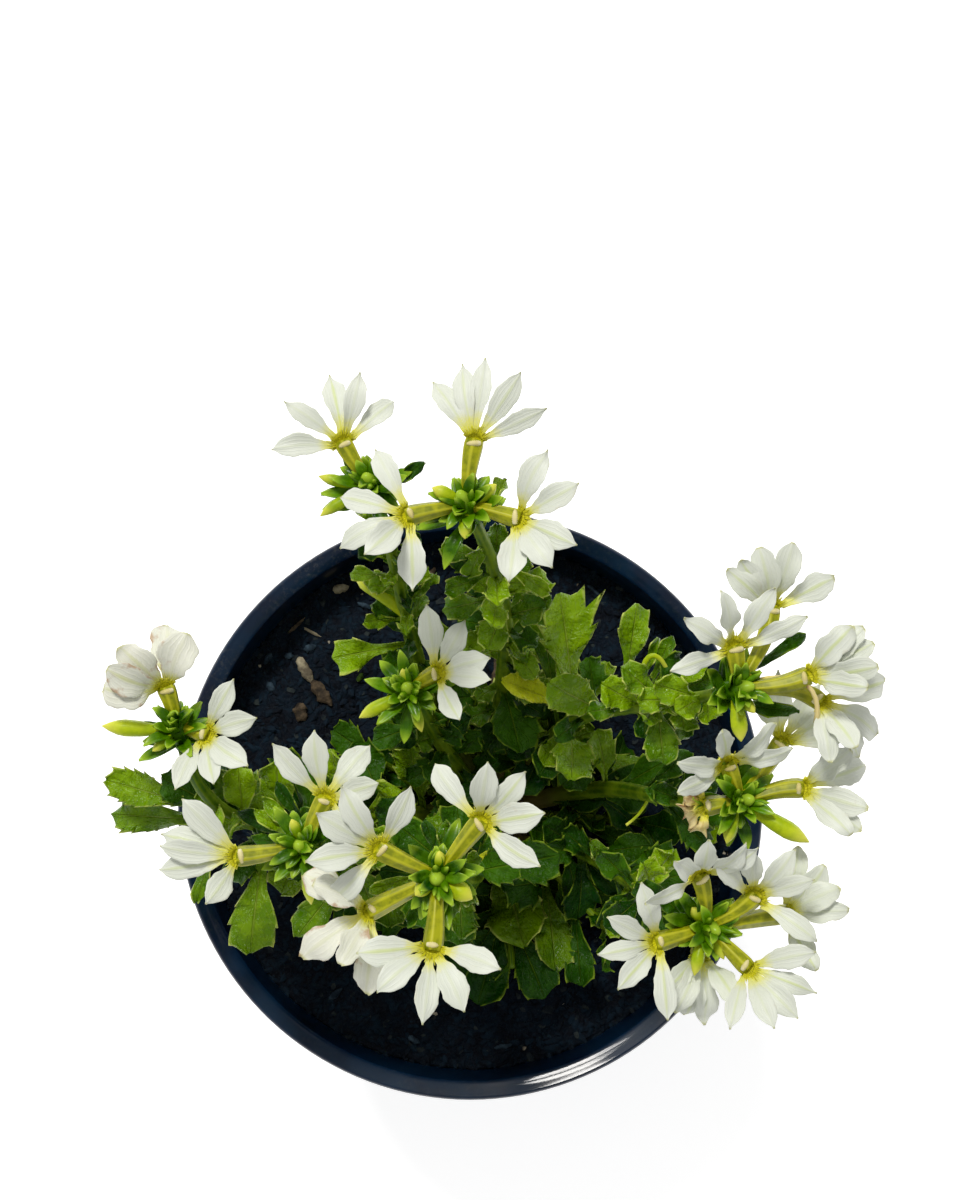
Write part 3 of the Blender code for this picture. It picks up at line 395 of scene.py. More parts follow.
# Where the photograph shows the mix between the leaves: the middle and radius of each place,
# in mm on the mix.
OPEN_PLACES = (
    (-45.1, 39.8, 15.5), (-35.3, 52.4, 8), (-51.9, 24.8, 10), (-8.2, 49.9, 2.5), (5.6, 32.8, 3),
    (30, 55, 8), (32.4, 41.8, 3.5), (35.5, 20.8, 6), (-34.3, -48.5, 12.5), (-17.1, -61, 12),
    (2.4, -61.9, 10.5), (21.9, -55.7, 8), (36.6, -46.2, 5.5), (-63.2, -28, 3.5), (-45.9, -38.9, 9),
    (-31.9, -38.9, 5), (52.4, 39.8, 4.5), (22.5, 60, 4), (12.1, -56.9, 7.5),
    (-47.7, 63.6, 7.5), (-13.2, 77.3, 4), (-8.7, 83, 3), (9.2, 74.5, 3),
)

# Bits of bark on the mix: the middle, length and thickness in mm, the turn in degrees, the kind.
BARK_BITS = (
    (-32.6, 52.9, 4.0, 2.6, 10, "pale"), (-43.6, 43.4, 6.0, 0.9, 42, "brown"), (-40.2, 42.1, 6.5, 0.8, -28, "pale"),
    (-41.2, 32.2, 7.5, 2.8, -62, "pale"), (-37.0, 26.6, 8.0, 3.4, -52, "brown"), (-42.0, 21.6, 4.6, 3.4, -70, "brown"),
    (-40.2, 37.9, 3.0, 2.0, 20, "grey"), (-45.4, 35.9, 2.4, 1.6, 0, "grey"), (6.3, 32.2, 10.0, 2.2, 84, "brown"),
    (-35.1, 47.6, 11.0, 0.6, 8, "grey"), (-26.3, 48.4, 4.5, 1.2, -20, "grey"), (-50.6, 35.2, 3.4, 1.6, 60, "grey"),
    (-10.2, 55.9, 5.0, 1.8, 60, "brown"), (31.0, 52.4, 5.0, 1.0, 140, "grey"), (33.5, 13.6, 3.0, 1.8, 10, "grey"),
    (-49.9, 28.0, 3.2, 1.8, 120, "grey"), (-30.1, 37.0, 3.6, 1.2, 35, "grey"), (27.0, 50.5, 4.0, 1.4, 20, "grey"),
    (-33.0, -47.0, 4.0, 1.6, 40, "grey"), (8.0, -59.5, 4.4, 1.2, 10, "grey"), (-14.0, -58.0, 3.4, 1.6, 150, "grey"),
    (38.5, 44.0, 3.6, 1.6, 100, "brown"), (-27.5, 30.4, 2.4, 1.6, 60, "green"),
)

# Spent buds and stalks: where on its limb each one grows, three more points in mm, its radii in
# mm and its finish.
STALKS = (
    ("back_left", 0.60, ((-18.1, 44.1, 161.2), (-20.8, 46.8, 160.2), (-24.6, 49.3, 158.2)), (1.4, 1.9, 2.3, 1.2), "bud"),
    ("back_right", 0.80, ((32.6, 29.6, 193.0), (37.4, 31.4, 195.0), (39.8, 25.5, 191.0)), (0.7, 0.6, 0.5, 0.5), "bud"),
    ("right", 0.62, ((38.5, -2.2, 153.0), (36.4, -3.8, 155.0), (34.2, -5.4, 156.0)), (0.4, 0.35, 0.3, 0.35), "bud"),
    ("back_right", 1.00, ((63.0, 27.0, 214.0), (66.5, 21.0, 213.0), (66.0, 14.8, 209.0)), (0.4, 0.4, 0.45, 0.6), "petal_dried"),
)

# The low leafy shoots: azimuth and height on the crown, slope in degrees, length in mm.
LOW_SHOOTS = {
    "low_right": (-4, 4.4, 24, 36),
    "low_back_right": (38, 4.0, 34, 30),
    "low_back": (80, 4.4, 36, 26),
    "low_back_left": (118, 4.0, 34, 24),
    "low_left": (158, 4.4, 28, 30),
    "low_front_left": (196, 4.0, 26, 34),
    "low_front_middle": (236, 4.4, 26, 30),
    "low_front": (274, 4.0, 22, 34),
    "low_front_right": (312, 4.4, 24, 36),
}


# Curves and places

def heading(azimuth, slope=0.0):
    """The unit vector at an azimuth and a slope above level, both in radians."""
    level = Vector((math.cos(azimuth), math.sin(azimuth), 0))
    return level * math.cos(slope) + UP * math.sin(slope)


def frame_at(place, forward, face):
    """A matrix whose Y axis runs forward and whose Z axis leans to face."""
    forward = forward.normalized()
    side = forward.cross(face).normalized()
    normal = side.cross(forward)
    turn = Matrix((side, forward, normal)).transposed().to_4x4()
    return Matrix.Translation(place) @ turn


def bezier(start, leave, arrive, end, share):
    rest = 1.0 - share
    return (start * rest ** 3 + leave * (3 * rest ** 2 * share)
            + arrive * (3 * rest * share ** 2) + end * share ** 3)


def crown_radius(share):
    """The crown's radius, flared at the ground and drawn in at the top."""
    flare = CROWN_FLARE * max(0.0, 1.0 - share / CROWN_FLARE_SHARE) ** 2
    past_shoulder = max(0.0, (share - CROWN_SHOULDER_SHARE) / CROWN_FLARE_SHARE)
    shoulder = math.sqrt(max(0.0, 1.0 - past_shoulder ** 2))
    return CROWN_RADIUS * (1.0 - CROWN_TAPER * share) * shoulder + flare


def crown_seat(azimuth, height, radius):
    """A point just inside the crown's side, where a limb grows out of it."""
    share = height / CROWN_HEIGHT
    axis = CROWN_PLACE + CROWN_LEAN * share + UP * height
    return axis + heading(azimuth) * (crown_radius(share) - radius * 0.4)


def stem_course(stem):
    """The four control points of a flowering stem, from the crown's side to its head's foot."""
    azimuth, height = stem["crown"]
    azimuth = math.radians(azimuth)
    rise = math.radians(stem["rise"])
    start = crown_seat(azimuth, height * MM, STEM_RADIUS)
    lean, lean_azimuth = (math.radians(angle) for angle in stem["lean"])
    tip_heading = heading(lean_azimuth, math.pi / 2 - lean)
    end = Vector(stem["head"]) * MM - tip_heading * (CORE_LENGTH * HEAD_SHARE)
    bend = (end - start).length * STEM_BEND
    return start, start + heading(azimuth, rise) * bend, end - tip_heading * bend, end


def low_course(azimuth, height, slope, length):
    """The control points of a low leafy shoot, that leaves the crown flat and turns up."""
    azimuth = math.radians(azimuth)
    slope = math.radians(slope)
    start = crown_seat(azimuth, height * MM, LOW_SHOOT_RADIUS)
    reach = length * MM
    leave = start + heading(azimuth, slope * 0.5) * reach / 3
    end = start + heading(azimuth, slope) * reach
    return start, leave, end - heading(azimuth, slope * 1.4) * reach / 3, end


def course_length(course, first=0.0, last=1.0, steps=12):
    points = [bezier(*course, first + (last - first) * step / steps) for step in range(steps + 1)]
    return sum((upper - lower).length for lower, upper in zip(points, points[1:]))


def smooth_curve(shares, values, wanted):
    """A curve that passes smoothly through the values without overshooting them."""
    shares = np.asarray(shares, float)
    values = np.asarray(values, float)
    slopes = np.diff(values) / np.diff(shares)
    tangents = np.zeros_like(values)
    same = slopes[1:] * slopes[:-1] > 0
    tangents[1:-1][same] = (2 * slopes[1:] * slopes[:-1])[same] / (slopes[1:] + slopes[:-1])[same]
    tangents[0] = slopes[0]
    tangents[-1] = slopes[-1]
    span = np.clip(np.searchsorted(shares, wanted, side="right") - 1, 0, len(shares) - 2)
    width = shares[span + 1] - shares[span]
    way = (wanted - shares[span]) / width
    return ((2 * way ** 3 - 3 * way ** 2 + 1) * values[span]
            + (way ** 3 - 2 * way ** 2 + way) * width * tangents[span]
            + (3 * way ** 2 - 2 * way ** 3) * values[span + 1]
            + (way ** 3 - way ** 2) * width * tangents[span + 1])


# Gathering small shapes into joined meshes

class Sheaf:
    """Many small shapes of one kind and finish, gathered into one mesh.

    Each corner keeps its place across and along its own shape as a UV, and each shape a tone.
    """

    def __init__(self):
        self.points = []
        self.faces = []
        self.places = []
        self.tones = []
        self.count = 0

    def add(self, points, faces, places, matrix=None, tone=0.5):
        points = np.asarray(points, float).reshape(-1, 3)
        if matrix is not None:
            turn = np.array(matrix)
            points = points @ turn[:3, :3].T + turn[:3, 3]
        self.points.append(points)
        self.faces.extend([[corner + self.count for corner in face] for face in faces])
        self.places.append(np.asarray(places, float).reshape(-1, 2))
        self.tones.append(np.full(len(points), tone))
        self.count += len(points)

    def make(self, name, material):
        mesh = bpy.data.meshes.new(name)
        mesh.from_pydata(np.concatenate(self.points).tolist(), [], self.faces)
        corners = np.zeros(len(mesh.loops), int)
        mesh.loops.foreach_get("vertex_index", corners)
        layer = mesh.uv_layers.new(name="place")
        layer.data.foreach_set("uv", np.concatenate(self.places)[corners].ravel())
        tone = mesh.attributes.new("tone", "FLOAT", "POINT")
        tone.data.foreach_set("value", np.concatenate(self.tones))
        mesh.polygons.foreach_set("use_smooth", [True] * len(mesh.polygons))
        mesh.materials.append(material)
        mesh.validate()
        thing = bpy.data.objects.new(name, mesh)
        bpy.context.scene.collection.objects.link(thing)
        return thing


def grid_faces(rows, columns, first=0, flip=False):
    """The quads of a grid of points counted row by row."""
    faces = []
    for row in range(rows - 1):
        for column in range(columns - 1):
            corner = first + row * columns + column
            face = [corner, corner + 1, corner + columns + 1, corner + columns]
            faces.append(face[::-1] if flip else face)
    return faces


def grid_normals(grid):
    along = np.gradient(grid, axis=0)
    across = np.gradient(grid, axis=1)
    normals = np.cross(across, along)
    return normals / np.maximum(np.linalg.norm(normals, axis=2, keepdims=True), 1e-12)


def thin_shell(grid, thickness, across, along):
    """A closed thin shell under a grid of points, thinner at its edge than in its middle."""
    rows, columns = grid.shape[:2]
    edge = 1.0 - 0.6 * np.abs(across) ** 4
    under = grid - grid_normals(grid) * (thickness * edge)[..., None]
    points = np.concatenate([grid.reshape(-1, 3), under.reshape(-1, 3)])
    places = np.stack([(across + 1) / 2, along], axis=-1).reshape(-1, 2)
    half = rows * columns
    faces = grid_faces(rows, columns) + grid_faces(rows, columns, half, flip=True)
    border = ([column for column in range(columns)]
              + [row * columns + columns - 1 for row in range(1, rows)]
              + [(rows - 1) * columns + column for column in range(columns - 2, -1, -1)]
              + [row * columns for row in range(rows - 2, 0, -1)])
    for corner, following in zip(border, border[1:] + border[:1]):
        faces.append([corner, corner + half, following + half, following])
    return points, faces, np.concatenate([places, places])


def limb_shell(points, radii, sides, ribs=0, rib_depth=0.0, hollow=0.0):
    """A closed round limb through the points, with its radius at each and ribs along it."""
    points = np.array([tuple(point) for point in points])
    tangents = np.gradient(points, axis=0)
    tangents /= np.linalg.norm(tangents, axis=1, keepdims=True)
    side = np.cross(tangents[0], (0.31, 0.17, 0.93))
    rings = []
    for place, tangent, radius in zip(points, tangents, radii):
        side = side - tangent * np.dot(side, tangent)
        side /= np.linalg.norm(side)
        other = np.cross(tangent, side)
        angles = 2 * math.pi * np.arange(sides) / sides
        swell = radius * (1.0 + rib_depth * np.cos(ribs * angles))
        rings.append(place + (np.cos(angles) * swell)[:, None] * side
                     + (np.sin(angles) * swell)[:, None] * other)
    rows = len(rings)
    if hollow:
        middle = points[-1] - tangents[-1] * hollow
    else:
        middle = points[-1] + tangents[-1] * radii[-1] * 0.35
    verts = np.concatenate(rings + [points[:1], middle[None]])
    along = np.repeat(np.linspace(0, 1, rows), sides)
    around = np.tile(np.arange(sides) / sides, rows)
    places = np.concatenate([np.stack([around, along], axis=-1), [[0.5, 0.0], [0.5, 1.0]]])
    faces = []
    for row in range(rows - 1):
        for corner in range(sides):
            following = (corner + 1) % sides
            faces.append([row * sides + corner, row * sides + following,
                          (row + 1) * sides + following, (row + 1) * sides + corner])
    for corner in range(sides):
        following = (corner + 1) % sides
        faces.append([following, corner, rows * sides])
        faces.append([(rows - 1) * sides + corner, (rows - 1) * sides + following, rows * sides + 1])
    return verts, faces, places


# Finishes

def linear(red, green, blue):
    """A colour given as 0 to 255 display values, as a node colour."""
    return tuple((value / 255) ** 2.2 for value in (red, green, blue)) + (1.0,)


class Recipe:
    """The nodes of one material or group, added and linked by name."""

    def __init__(self, tree):
        self.tree = tree

    def add(self, kind, settings=None, **inputs):
        node = self.tree.nodes.new(kind)
        for name, value in (settings or {}).items():
            setattr(node, name, value)
        for name, value in inputs.items():
            self.feed(node, name.replace("_", " "), value)
        return node

    def feed(self, node, name, value):
        socket = node.inputs[int(name)] if name.isdigit() else node.inputs[name]
        if isinstance(value, bpy.types.NodeSocket):
            self.tree.links.new(value, socket)
        else:
            socket.default_value = value

    def math(self, operation, first, second=0.0, third=0.0):
        node = self.add("ShaderNodeMath", {"operation": operation})
        for index, value in enumerate((first, second, third)):
            self.feed(node, str(index), value)
        return node.outputs[0]

    def span(self, value, low, high, to_low=0.0, to_high=1.0):
        node = self.add("ShaderNodeMapRange", {"interpolation_type": "SMOOTHSTEP"})
        for name, given in (("Value", value), ("From Min", low), ("From Max", high),
                            ("To Min", to_low), ("To Max", to_high)):
            self.feed(node, name, given)
        return node.outputs[0]

    def blend(self, share, first, second, kind="MIX"):
        node = self.add("ShaderNodeMix", {"data_type": "RGBA", "blend_type": kind})
        self.feed(node, "0", share)
        self.feed(node, "6", first)
        self.feed(node, "7", second)
        return node.outputs[2]

    def noise(self, place, scale, detail=3.0, rough=0.55):
        node = self.add("ShaderNodeTexNoise", {"noise_dimensions": "3D"})
        for name, given in (("Vector", place), ("Scale", scale), ("Detail", detail), ("Roughness", rough)):
            self.feed(node, name, given)
        return node.outputs["Fac"]

    def object_place(self):
        return self.add("ShaderNodeTexCoord").outputs["Object"]

    def own_place(self):
        """The place across and along the shape itself, each from 0 to 1."""
        split = self.add("ShaderNodeSeparateXYZ")
        self.feed(split, "Vector", self.add("ShaderNodeUVMap", {"uv_map": "place"}).outputs["UV"])
        return split.outputs["X"], split.outputs["Y"]

    def height(self):
        split = self.add("ShaderNodeSeparateXYZ")
        self.feed(split, "Vector", self.object_place())
        return split.outputs["Z"]

    def tone(self):
        return self.add("ShaderNodeAttribute", {"attribute_name": "tone"}).outputs["Fac"]

    def bump(self, height, strength, distance):
        node = self.add("ShaderNodeBump")
        self.feed(node, "Strength", strength)
        self.feed(node, "Distance", distance)
        self.feed(node, "Height", height)
        return node.outputs["Normal"]

    def call(self, group, **inputs):
        node = self.add("ShaderNodeGroup", {"node_tree": group})
        for name, value in inputs.items():
            self.feed(node, name.replace("_", " "), value)
        return node


def new_group(name, inputs, outputs):
    group = bpy.data.node_groups.new(name, "ShaderNodeTree")
    for socket, kind, value in inputs:
        made = group.interface.new_socket(name=socket, in_out="INPUT", socket_type=kind)
        if value is not None:
            made.default_value = value
    for socket, kind in outputs:
        group.interface.new_socket(name=socket, in_out="OUTPUT", socket_type=kind)
    recipe = Recipe(group)
    return group, recipe, recipe.add("NodeGroupInput"), recipe.add("NodeGroupOutput")


def make_mottle_group():
    """Uneven colour and a fine grain, for anything grown, moulded or weathered."""
    group, recipe, given, put = new_group(
        "mottle",
        [("Scale", "NodeSocketFloat", 120.0), ("Grain Scale", "NodeSocketFloat", 1400.0)],
        [("Patches", "NodeSocketFloat"), ("Grain", "NodeSocketFloat")])
    place = recipe.object_place()
    broad = recipe.noise(place, given.outputs["Scale"], 4.0, 0.6)
    fine = recipe.noise(place, given.outputs["Grain Scale"], 2.0, 0.5)
    recipe.feed(put, "Patches", recipe.span(broad, 0.34, 0.66))
    recipe.feed(put, "Grain", fine)
    return group


def make_vein_group():
    """A midrib with side veins, and fine lines along the shape, from its own place."""
    group, recipe, given, put = new_group(
        "veins",
        [("Side Veins", "NodeSocketFloat", 6.0), ("Slant", "NodeSocketFloat", 0.5),
         ("Fine Lines", "NodeSocketFloat", 16.0), ("Rib Width", "NodeSocketFloat", 0.06)],
        [("Rib", "NodeSocketFloat"), ("Side", "NodeSocketFloat"), ("Fine", "NodeSocketFloat"),
         ("Edge", "NodeSocketFloat"), ("Along", "NodeSocketFloat")])
    across, along = recipe.own_place()
    off_middle = recipe.math("ABSOLUTE", recipe.math("SUBTRACT", across, 0.5))
    rib = recipe.span(off_middle, given.outputs["Rib Width"], 0.0)
    slanted = recipe.math("SUBTRACT", along, recipe.math("MULTIPLY", off_middle, given.outputs["Slant"]))
    turns = recipe.math("MULTIPLY", recipe.math("MULTIPLY", slanted, given.outputs["Side Veins"]), math.tau)
    side = recipe.span(recipe.math("COSINE", turns), 0.86, 1.0)
    wobble = recipe.noise(recipe.object_place(), 300.0, 2.0)
    lines = recipe.math("ADD", recipe.math("MULTIPLY", off_middle, given.outputs["Fine Lines"]),
                        recipe.math("MULTIPLY", wobble, 0.8))
    fine = recipe.span(recipe.math("COSINE", recipe.math("MULTIPLY", lines, math.tau)), 0.2, 1.0)
    recipe.feed(put, "Rib", rib)
    recipe.feed(put, "Side", side)
    recipe.feed(put, "Fine", fine)
    recipe.feed(put, "Edge", recipe.math("MULTIPLY", off_middle, 2.0))
    recipe.feed(put, "Along", along)
    return group


def new_finish(name):
    material = bpy.data.materials.new(name)
    material.use_nodes = True
    recipe = Recipe(material.node_tree)
    return material, recipe, material.node_tree.nodes["Principled BSDF"]


def moulded_plastic(mottle):
    """Dark navy moulded plastic with a satin gloss, and pale grey flecks on the back left of the lip, partly dust and
    partly a painted sheen on the side the key lamp lights.
    """
    material, recipe, surface = new_finish("moulded_pot_plastic")
    marks = recipe.call(mottle, Scale=55.0, Grain_Scale=2600.0)
    place = recipe.object_place()
    body = recipe.blend(marks.outputs["Patches"], linear(2, 22, 42), linear(8, 36, 58))
    split = recipe.add("ShaderNodeSeparateXYZ")
    recipe.feed(split, "Vector", place)
    height = recipe.span(split.outputs["Z"], POT_HEIGHT - 20 * MM, POT_HEIGHT - 0.6 * MM)
    # Dust and a painted sheen, heaviest on the lip's back left, the side the key lamp lights.
    back_left_weight = recipe.span(recipe.math("SUBTRACT", split.outputs["Y"], split.outputs["X"]), 20 * MM, 90 * MM, 0.3, 1.0)
    speckle = recipe.span(recipe.noise(place, 900.0, 5.0, 0.7), 0.48, 0.70)
    film = recipe.span(recipe.noise(place, 70.0, 3.0), 0.42, 0.66)
    dust_and_sheen = recipe.math("MULTIPLY", recipe.math("MULTIPLY", speckle, film),
                       recipe.math("MULTIPLY", recipe.math("MULTIPLY", height, back_left_weight), 0.3))
    recipe.feed(surface, "Base Color", recipe.blend(dust_and_sheen, body, linear(92, 90, 86)))
    rough = recipe.math("ADD", recipe.span(marks.outputs["Patches"], 0.0, 1.0, 0.28, 0.40),
                        recipe.math("MULTIPLY", dust_and_sheen, 0.5))
    recipe.feed(surface, "Roughness", rough)
    recipe.feed(surface, "Normal", recipe.bump(marks.outputs["Grain"], 0.18, 0.00004))
    recipe.feed(surface, "Coat Weight", recipe.span(marks.outputs["Patches"], 0.0, 1.0, 0.40, 0.28))
    surface.inputs["Coat Roughness"].default_value = 0.06
    surface.inputs["Specular IOR Level"].default_value = 0.16
    return material


def damp_mix(mottle):
    """Nearly black, crumbly bark-based potting mix."""
    material, recipe, surface = new_finish("damp_potting_mix")
    marks = recipe.call(mottle, Scale=210.0, Grain_Scale=1500.0)
    place = recipe.object_place()
    dark = recipe.blend(marks.outputs["Patches"], linear(1, 10, 20), linear(7, 24, 36))
    crumbs = recipe.span(recipe.noise(place, 620.0, 4.0, 0.7), 0.58, 0.74)
    recipe.feed(surface, "Base Color", recipe.blend(crumbs, dark, linear(26, 44, 56)))
    recipe.feed(surface, "Roughness", recipe.span(marks.outputs["Grain"], 0.3, 0.7, 0.7, 0.95))
    surface.inputs["Specular IOR Level"].default_value = 0.2
    rough_ground = recipe.math("ADD", marks.outputs["Grain"], recipe.noise(place, 420.0, 5.0, 0.7))
    recipe.feed(surface, "Normal", recipe.bump(rough_ground, 0.9, 0.0007))
    return material


def bark_chips(mottle, name, dark, pale):
    material, recipe, surface = new_finish(name)
    marks = recipe.call(mottle, Scale=330.0, Grain_Scale=1900.0)
    recipe.feed(surface, "Base Color", recipe.blend(marks.outputs["Patches"], dark, pale))
    surface.inputs["Roughness"].default_value = 0.85
    surface.inputs["Specular IOR Level"].default_value = 0.2
    recipe.feed(surface, "Normal", recipe.bump(marks.outputs["Grain"], 0.7, 0.0003))
    return material


def young_bark(mottle):
    """Brown bark of the crown, cracked lengthwise."""
    material, recipe, surface = new_finish("young_bark")
    marks = recipe.call(mottle, Scale=160.0, Grain_Scale=1200.0)
    stretch = recipe.add("ShaderNodeMapping")
    recipe.feed(stretch, "Vector", recipe.object_place())
    stretch.inputs["Scale"].default_value = (1.0, 1.0, 0.18)
    cracks = recipe.span(recipe.noise(stretch.outputs["Vector"], 900.0, 4.0, 0.65), 0.40, 0.62)
    brown = recipe.blend(marks.outputs["Patches"], linear(74, 56, 36), linear(120, 98, 62))
    recipe.feed(surface, "Base Color", recipe.blend(cracks, linear(34, 26, 18), brown))
    surface.inputs["Roughness"].default_value = 0.82
    recipe.feed(surface, "Normal", recipe.bump(cracks, 0.7, 0.0004))
    return material


def green_stem(mottle):
    """Smooth green stems, browner and barky near the crown, with pale streaks along them."""
    material, recipe, surface = new_finish("green_stem")
    marks = recipe.call(mottle, Scale=180.0, Grain_Scale=2000.0)
    across, along = recipe.own_place()
    green = recipe.blend(marks.outputs["Patches"], linear(54, 86, 0), linear(104, 128, 10))
    streaks = recipe.span(recipe.math("COSINE", recipe.math("MULTIPLY", across, math.tau * 7)), -0.6, 1.0)
    green = recipe.blend(recipe.math("MULTIPLY", streaks, 0.35), green, linear(124, 144, 24))
    woody = recipe.math("MULTIPLY", recipe.span(along, 0.24, 0.02), recipe.math("ADD", recipe.tone(), 0.35))
    recipe.feed(surface, "Base Color", recipe.blend(woody, green, linear(104, 88, 44)))
    recipe.feed(surface, "Roughness", recipe.span(marks.outputs["Patches"], 0.0, 1.0, 0.42, 0.56))
    surface.inputs["Specular IOR Level"].default_value = 0.2
    relief = recipe.math("ADD", recipe.math("MULTIPLY", streaks, 0.5), marks.outputs["Grain"])
    recipe.feed(surface, "Normal", recipe.bump(relief, 0.5, 0.00012))
    return material


def leaf_skin(mottle, veins, name, dark, light, margin, rough, specular):
    """Waxy leaf, a little lighter along the midrib, with pale teeth; the lower it stands, the deeper its green, a
    painted shade.
    """
    material, recipe, surface = new_finish(name)
    marks = recipe.call(mottle, Scale=230.0, Grain_Scale=2600.0)
    lines = recipe.call(veins, Side_Veins=5.0, Slant=0.9, Fine_Lines=14.0, Rib_Width=0.035)
    shade = recipe.math("ADD", recipe.math("MULTIPLY", marks.outputs["Patches"], 0.40),
                        recipe.math("MULTIPLY", recipe.tone(), 0.75))
    green = recipe.blend(shade, dark, light)
    pale = recipe.math("MULTIPLY", recipe.math("MAXIMUM", recipe.math("MULTIPLY", lines.outputs["Rib"], 0.35),
                                               recipe.math("MULTIPLY", lines.outputs["Side"], 0.07)),
                       recipe.span(lines.outputs["Along"], 1.0, 0.3, 0.2, 1.0))
    green = recipe.blend(pale, green, margin)
    teeth = recipe.math("MULTIPLY", recipe.span(lines.outputs["Edge"], 0.90, 1.0), 0.85)
    rim = recipe.math("MULTIPLY", recipe.span(lines.outputs["Edge"], 0.84, 0.92), recipe.span(
        marks.outputs["Patches"], 0.0, 1.0, 0.06, 0.40))
    # Painted shade: below 165 mm the green turns towards a dark green, standing for the shade low in the plant.
    low = recipe.span(recipe.height(), 165 * MM, 120 * MM, 0.0, 0.36)
    green = recipe.blend(low, green, linear(0, 46, 0))
    green = recipe.blend(recipe.math("MAXIMUM", teeth, rim), green, margin)
    foot = recipe.span(lines.outputs["Along"], 0.22, 0.0, 0.0, 0.5)
    recipe.feed(surface, "Base Color", recipe.blend(foot, green, linear(112, 140, 24)))
    recipe.feed(surface, "Roughness", recipe.span(marks.outputs["Patches"], 0.0, 1.0, rough, rough + 0.17))
    relief = recipe.math("ADD", recipe.math("MULTIPLY", lines.outputs["Rib"], -1.0),
                         recipe.math("ADD", recipe.math("MULTIPLY", lines.outputs["Side"], -0.22),
                                     recipe.math("MULTIPLY", marks.outputs["Patches"], 1.3)))
    recipe.feed(surface, "Normal", recipe.bump(relief, 0.7, 0.0007))
    surface.inputs["Specular IOR Level"].default_value = specular
    surface.inputs["Subsurface Weight"].default_value = 0.10
    surface.inputs["Subsurface Radius"].default_value = (0.0012, 0.0020, 0.0004)
    return material


def petal_skin(mottle, veins, name, white, rib, brown, browned):
    """Thin white petal: a faint green midrib, soft veins, a streaked yellow foot, a green tip."""
    material, recipe, surface = new_finish(name)
    marks = recipe.call(mottle, Scale=210.0, Grain_Scale=2400.0)
    lines = recipe.call(veins, Side_Veins=7.0, Slant=1.6, Fine_Lines=7.0, Rib_Width=0.12)
    along = lines.outputs["Along"]
    shade = recipe.math("MULTIPLY", recipe.math("SUBTRACT", 1.0, lines.outputs["Fine"]), 0.13)
    body = recipe.blend(shade, white, linear(188, 192, 176))
    body = recipe.blend(recipe.math("MULTIPLY", marks.outputs["Patches"], 0.22), body, linear(198, 202, 184))
    spine = recipe.math("MULTIPLY", lines.outputs["Rib"],
                        recipe.math("ADD", 0.14, recipe.math("MULTIPLY", recipe.math("POWER", recipe.tone(), 2.5), 0.62)))
    body = recipe.blend(recipe.math("MULTIPLY", spine, recipe.span(along, 1.0, 0.7, 0.5, 1.0)), body, rib)
    wander = recipe.math("MULTIPLY", recipe.noise(recipe.object_place(), 900.0, 2.0), 0.20)
    foot = recipe.span(recipe.math("SUBTRACT", along, wander), 0.26, -0.05)
    streaky = recipe.math("MULTIPLY", foot, recipe.math("ADD", 0.62, recipe.math("MULTIPLY", lines.outputs["Fine"], 0.7)))
    body = recipe.blend(recipe.math("MINIMUM", streaky, 1.0), body, linear(220, 216, 16))
    tip = recipe.math("MULTIPLY", recipe.span(along, 0.955, 1.0), 0.7)
    body = recipe.blend(tip, body, linear(180, 180, 104))
    edge = recipe.span(lines.outputs["Edge"], 0.70, 1.0)
    stain = recipe.span(recipe.math("ADD", recipe.noise(recipe.object_place(), 240.0, 4.0, 0.6),
                                    recipe.math("MULTIPLY", edge, 0.10)), 0.67 - 0.18 * browned, 0.74)
    recipe.feed(surface, "Base Color", recipe.blend(recipe.math("MULTIPLY", stain, min(1.0, 0.12 + browned)),
                                                    body, brown))
    recipe.feed(surface, "Roughness", recipe.span(marks.outputs["Patches"], 0.0, 1.0, 0.45, 0.6))
    relief = recipe.math("ADD", lines.outputs["Fine"], recipe.math("MULTIPLY", lines.outputs["Rib"], 1.6))
    recipe.feed(surface, "Normal", recipe.bump(relief, 0.4, 0.0001))
    surface.inputs["Subsurface Weight"].default_value = 0.2
    surface.inputs["Subsurface Radius"].default_value = (0.0012, 0.0012, 0.0010)
    return material


def throat_skin(mottle):
    """Yellow-green throat, olive in its middle and striped towards the petals."""
    material, recipe, surface = new_finish("throat")
    marks = recipe.call(mottle, Scale=500.0, Grain_Scale=2600.0)
    across, along = recipe.own_place()
    stripes = recipe.span(recipe.math("COSINE", recipe.math("MULTIPLY", across, math.tau * 15)), -0.4, 1.0)
    deep = recipe.blend(stripes, linear(196, 192, 0), linear(232, 226, 34))
    deep = recipe.blend(recipe.span(along, 0.34, 0.0, 0.0, 0.5), deep, linear(150, 152, 0))
    recipe.feed(surface, "Base Color", recipe.blend(recipe.span(along, 0.75, 1.0, 0.0, 0.8), deep, linear(232, 230, 96)))
    surface.inputs["Roughness"].default_value = 0.5
    surface.inputs["Subsurface Weight"].default_value = 0.15
    surface.inputs["Subsurface Radius"].default_value = (0.0012, 0.0012, 0.0004)
    recipe.feed(surface, "Normal", recipe.bump(recipe.math("ADD", stripes, marks.outputs["Grain"]), 0.5, 0.00015))
    return material


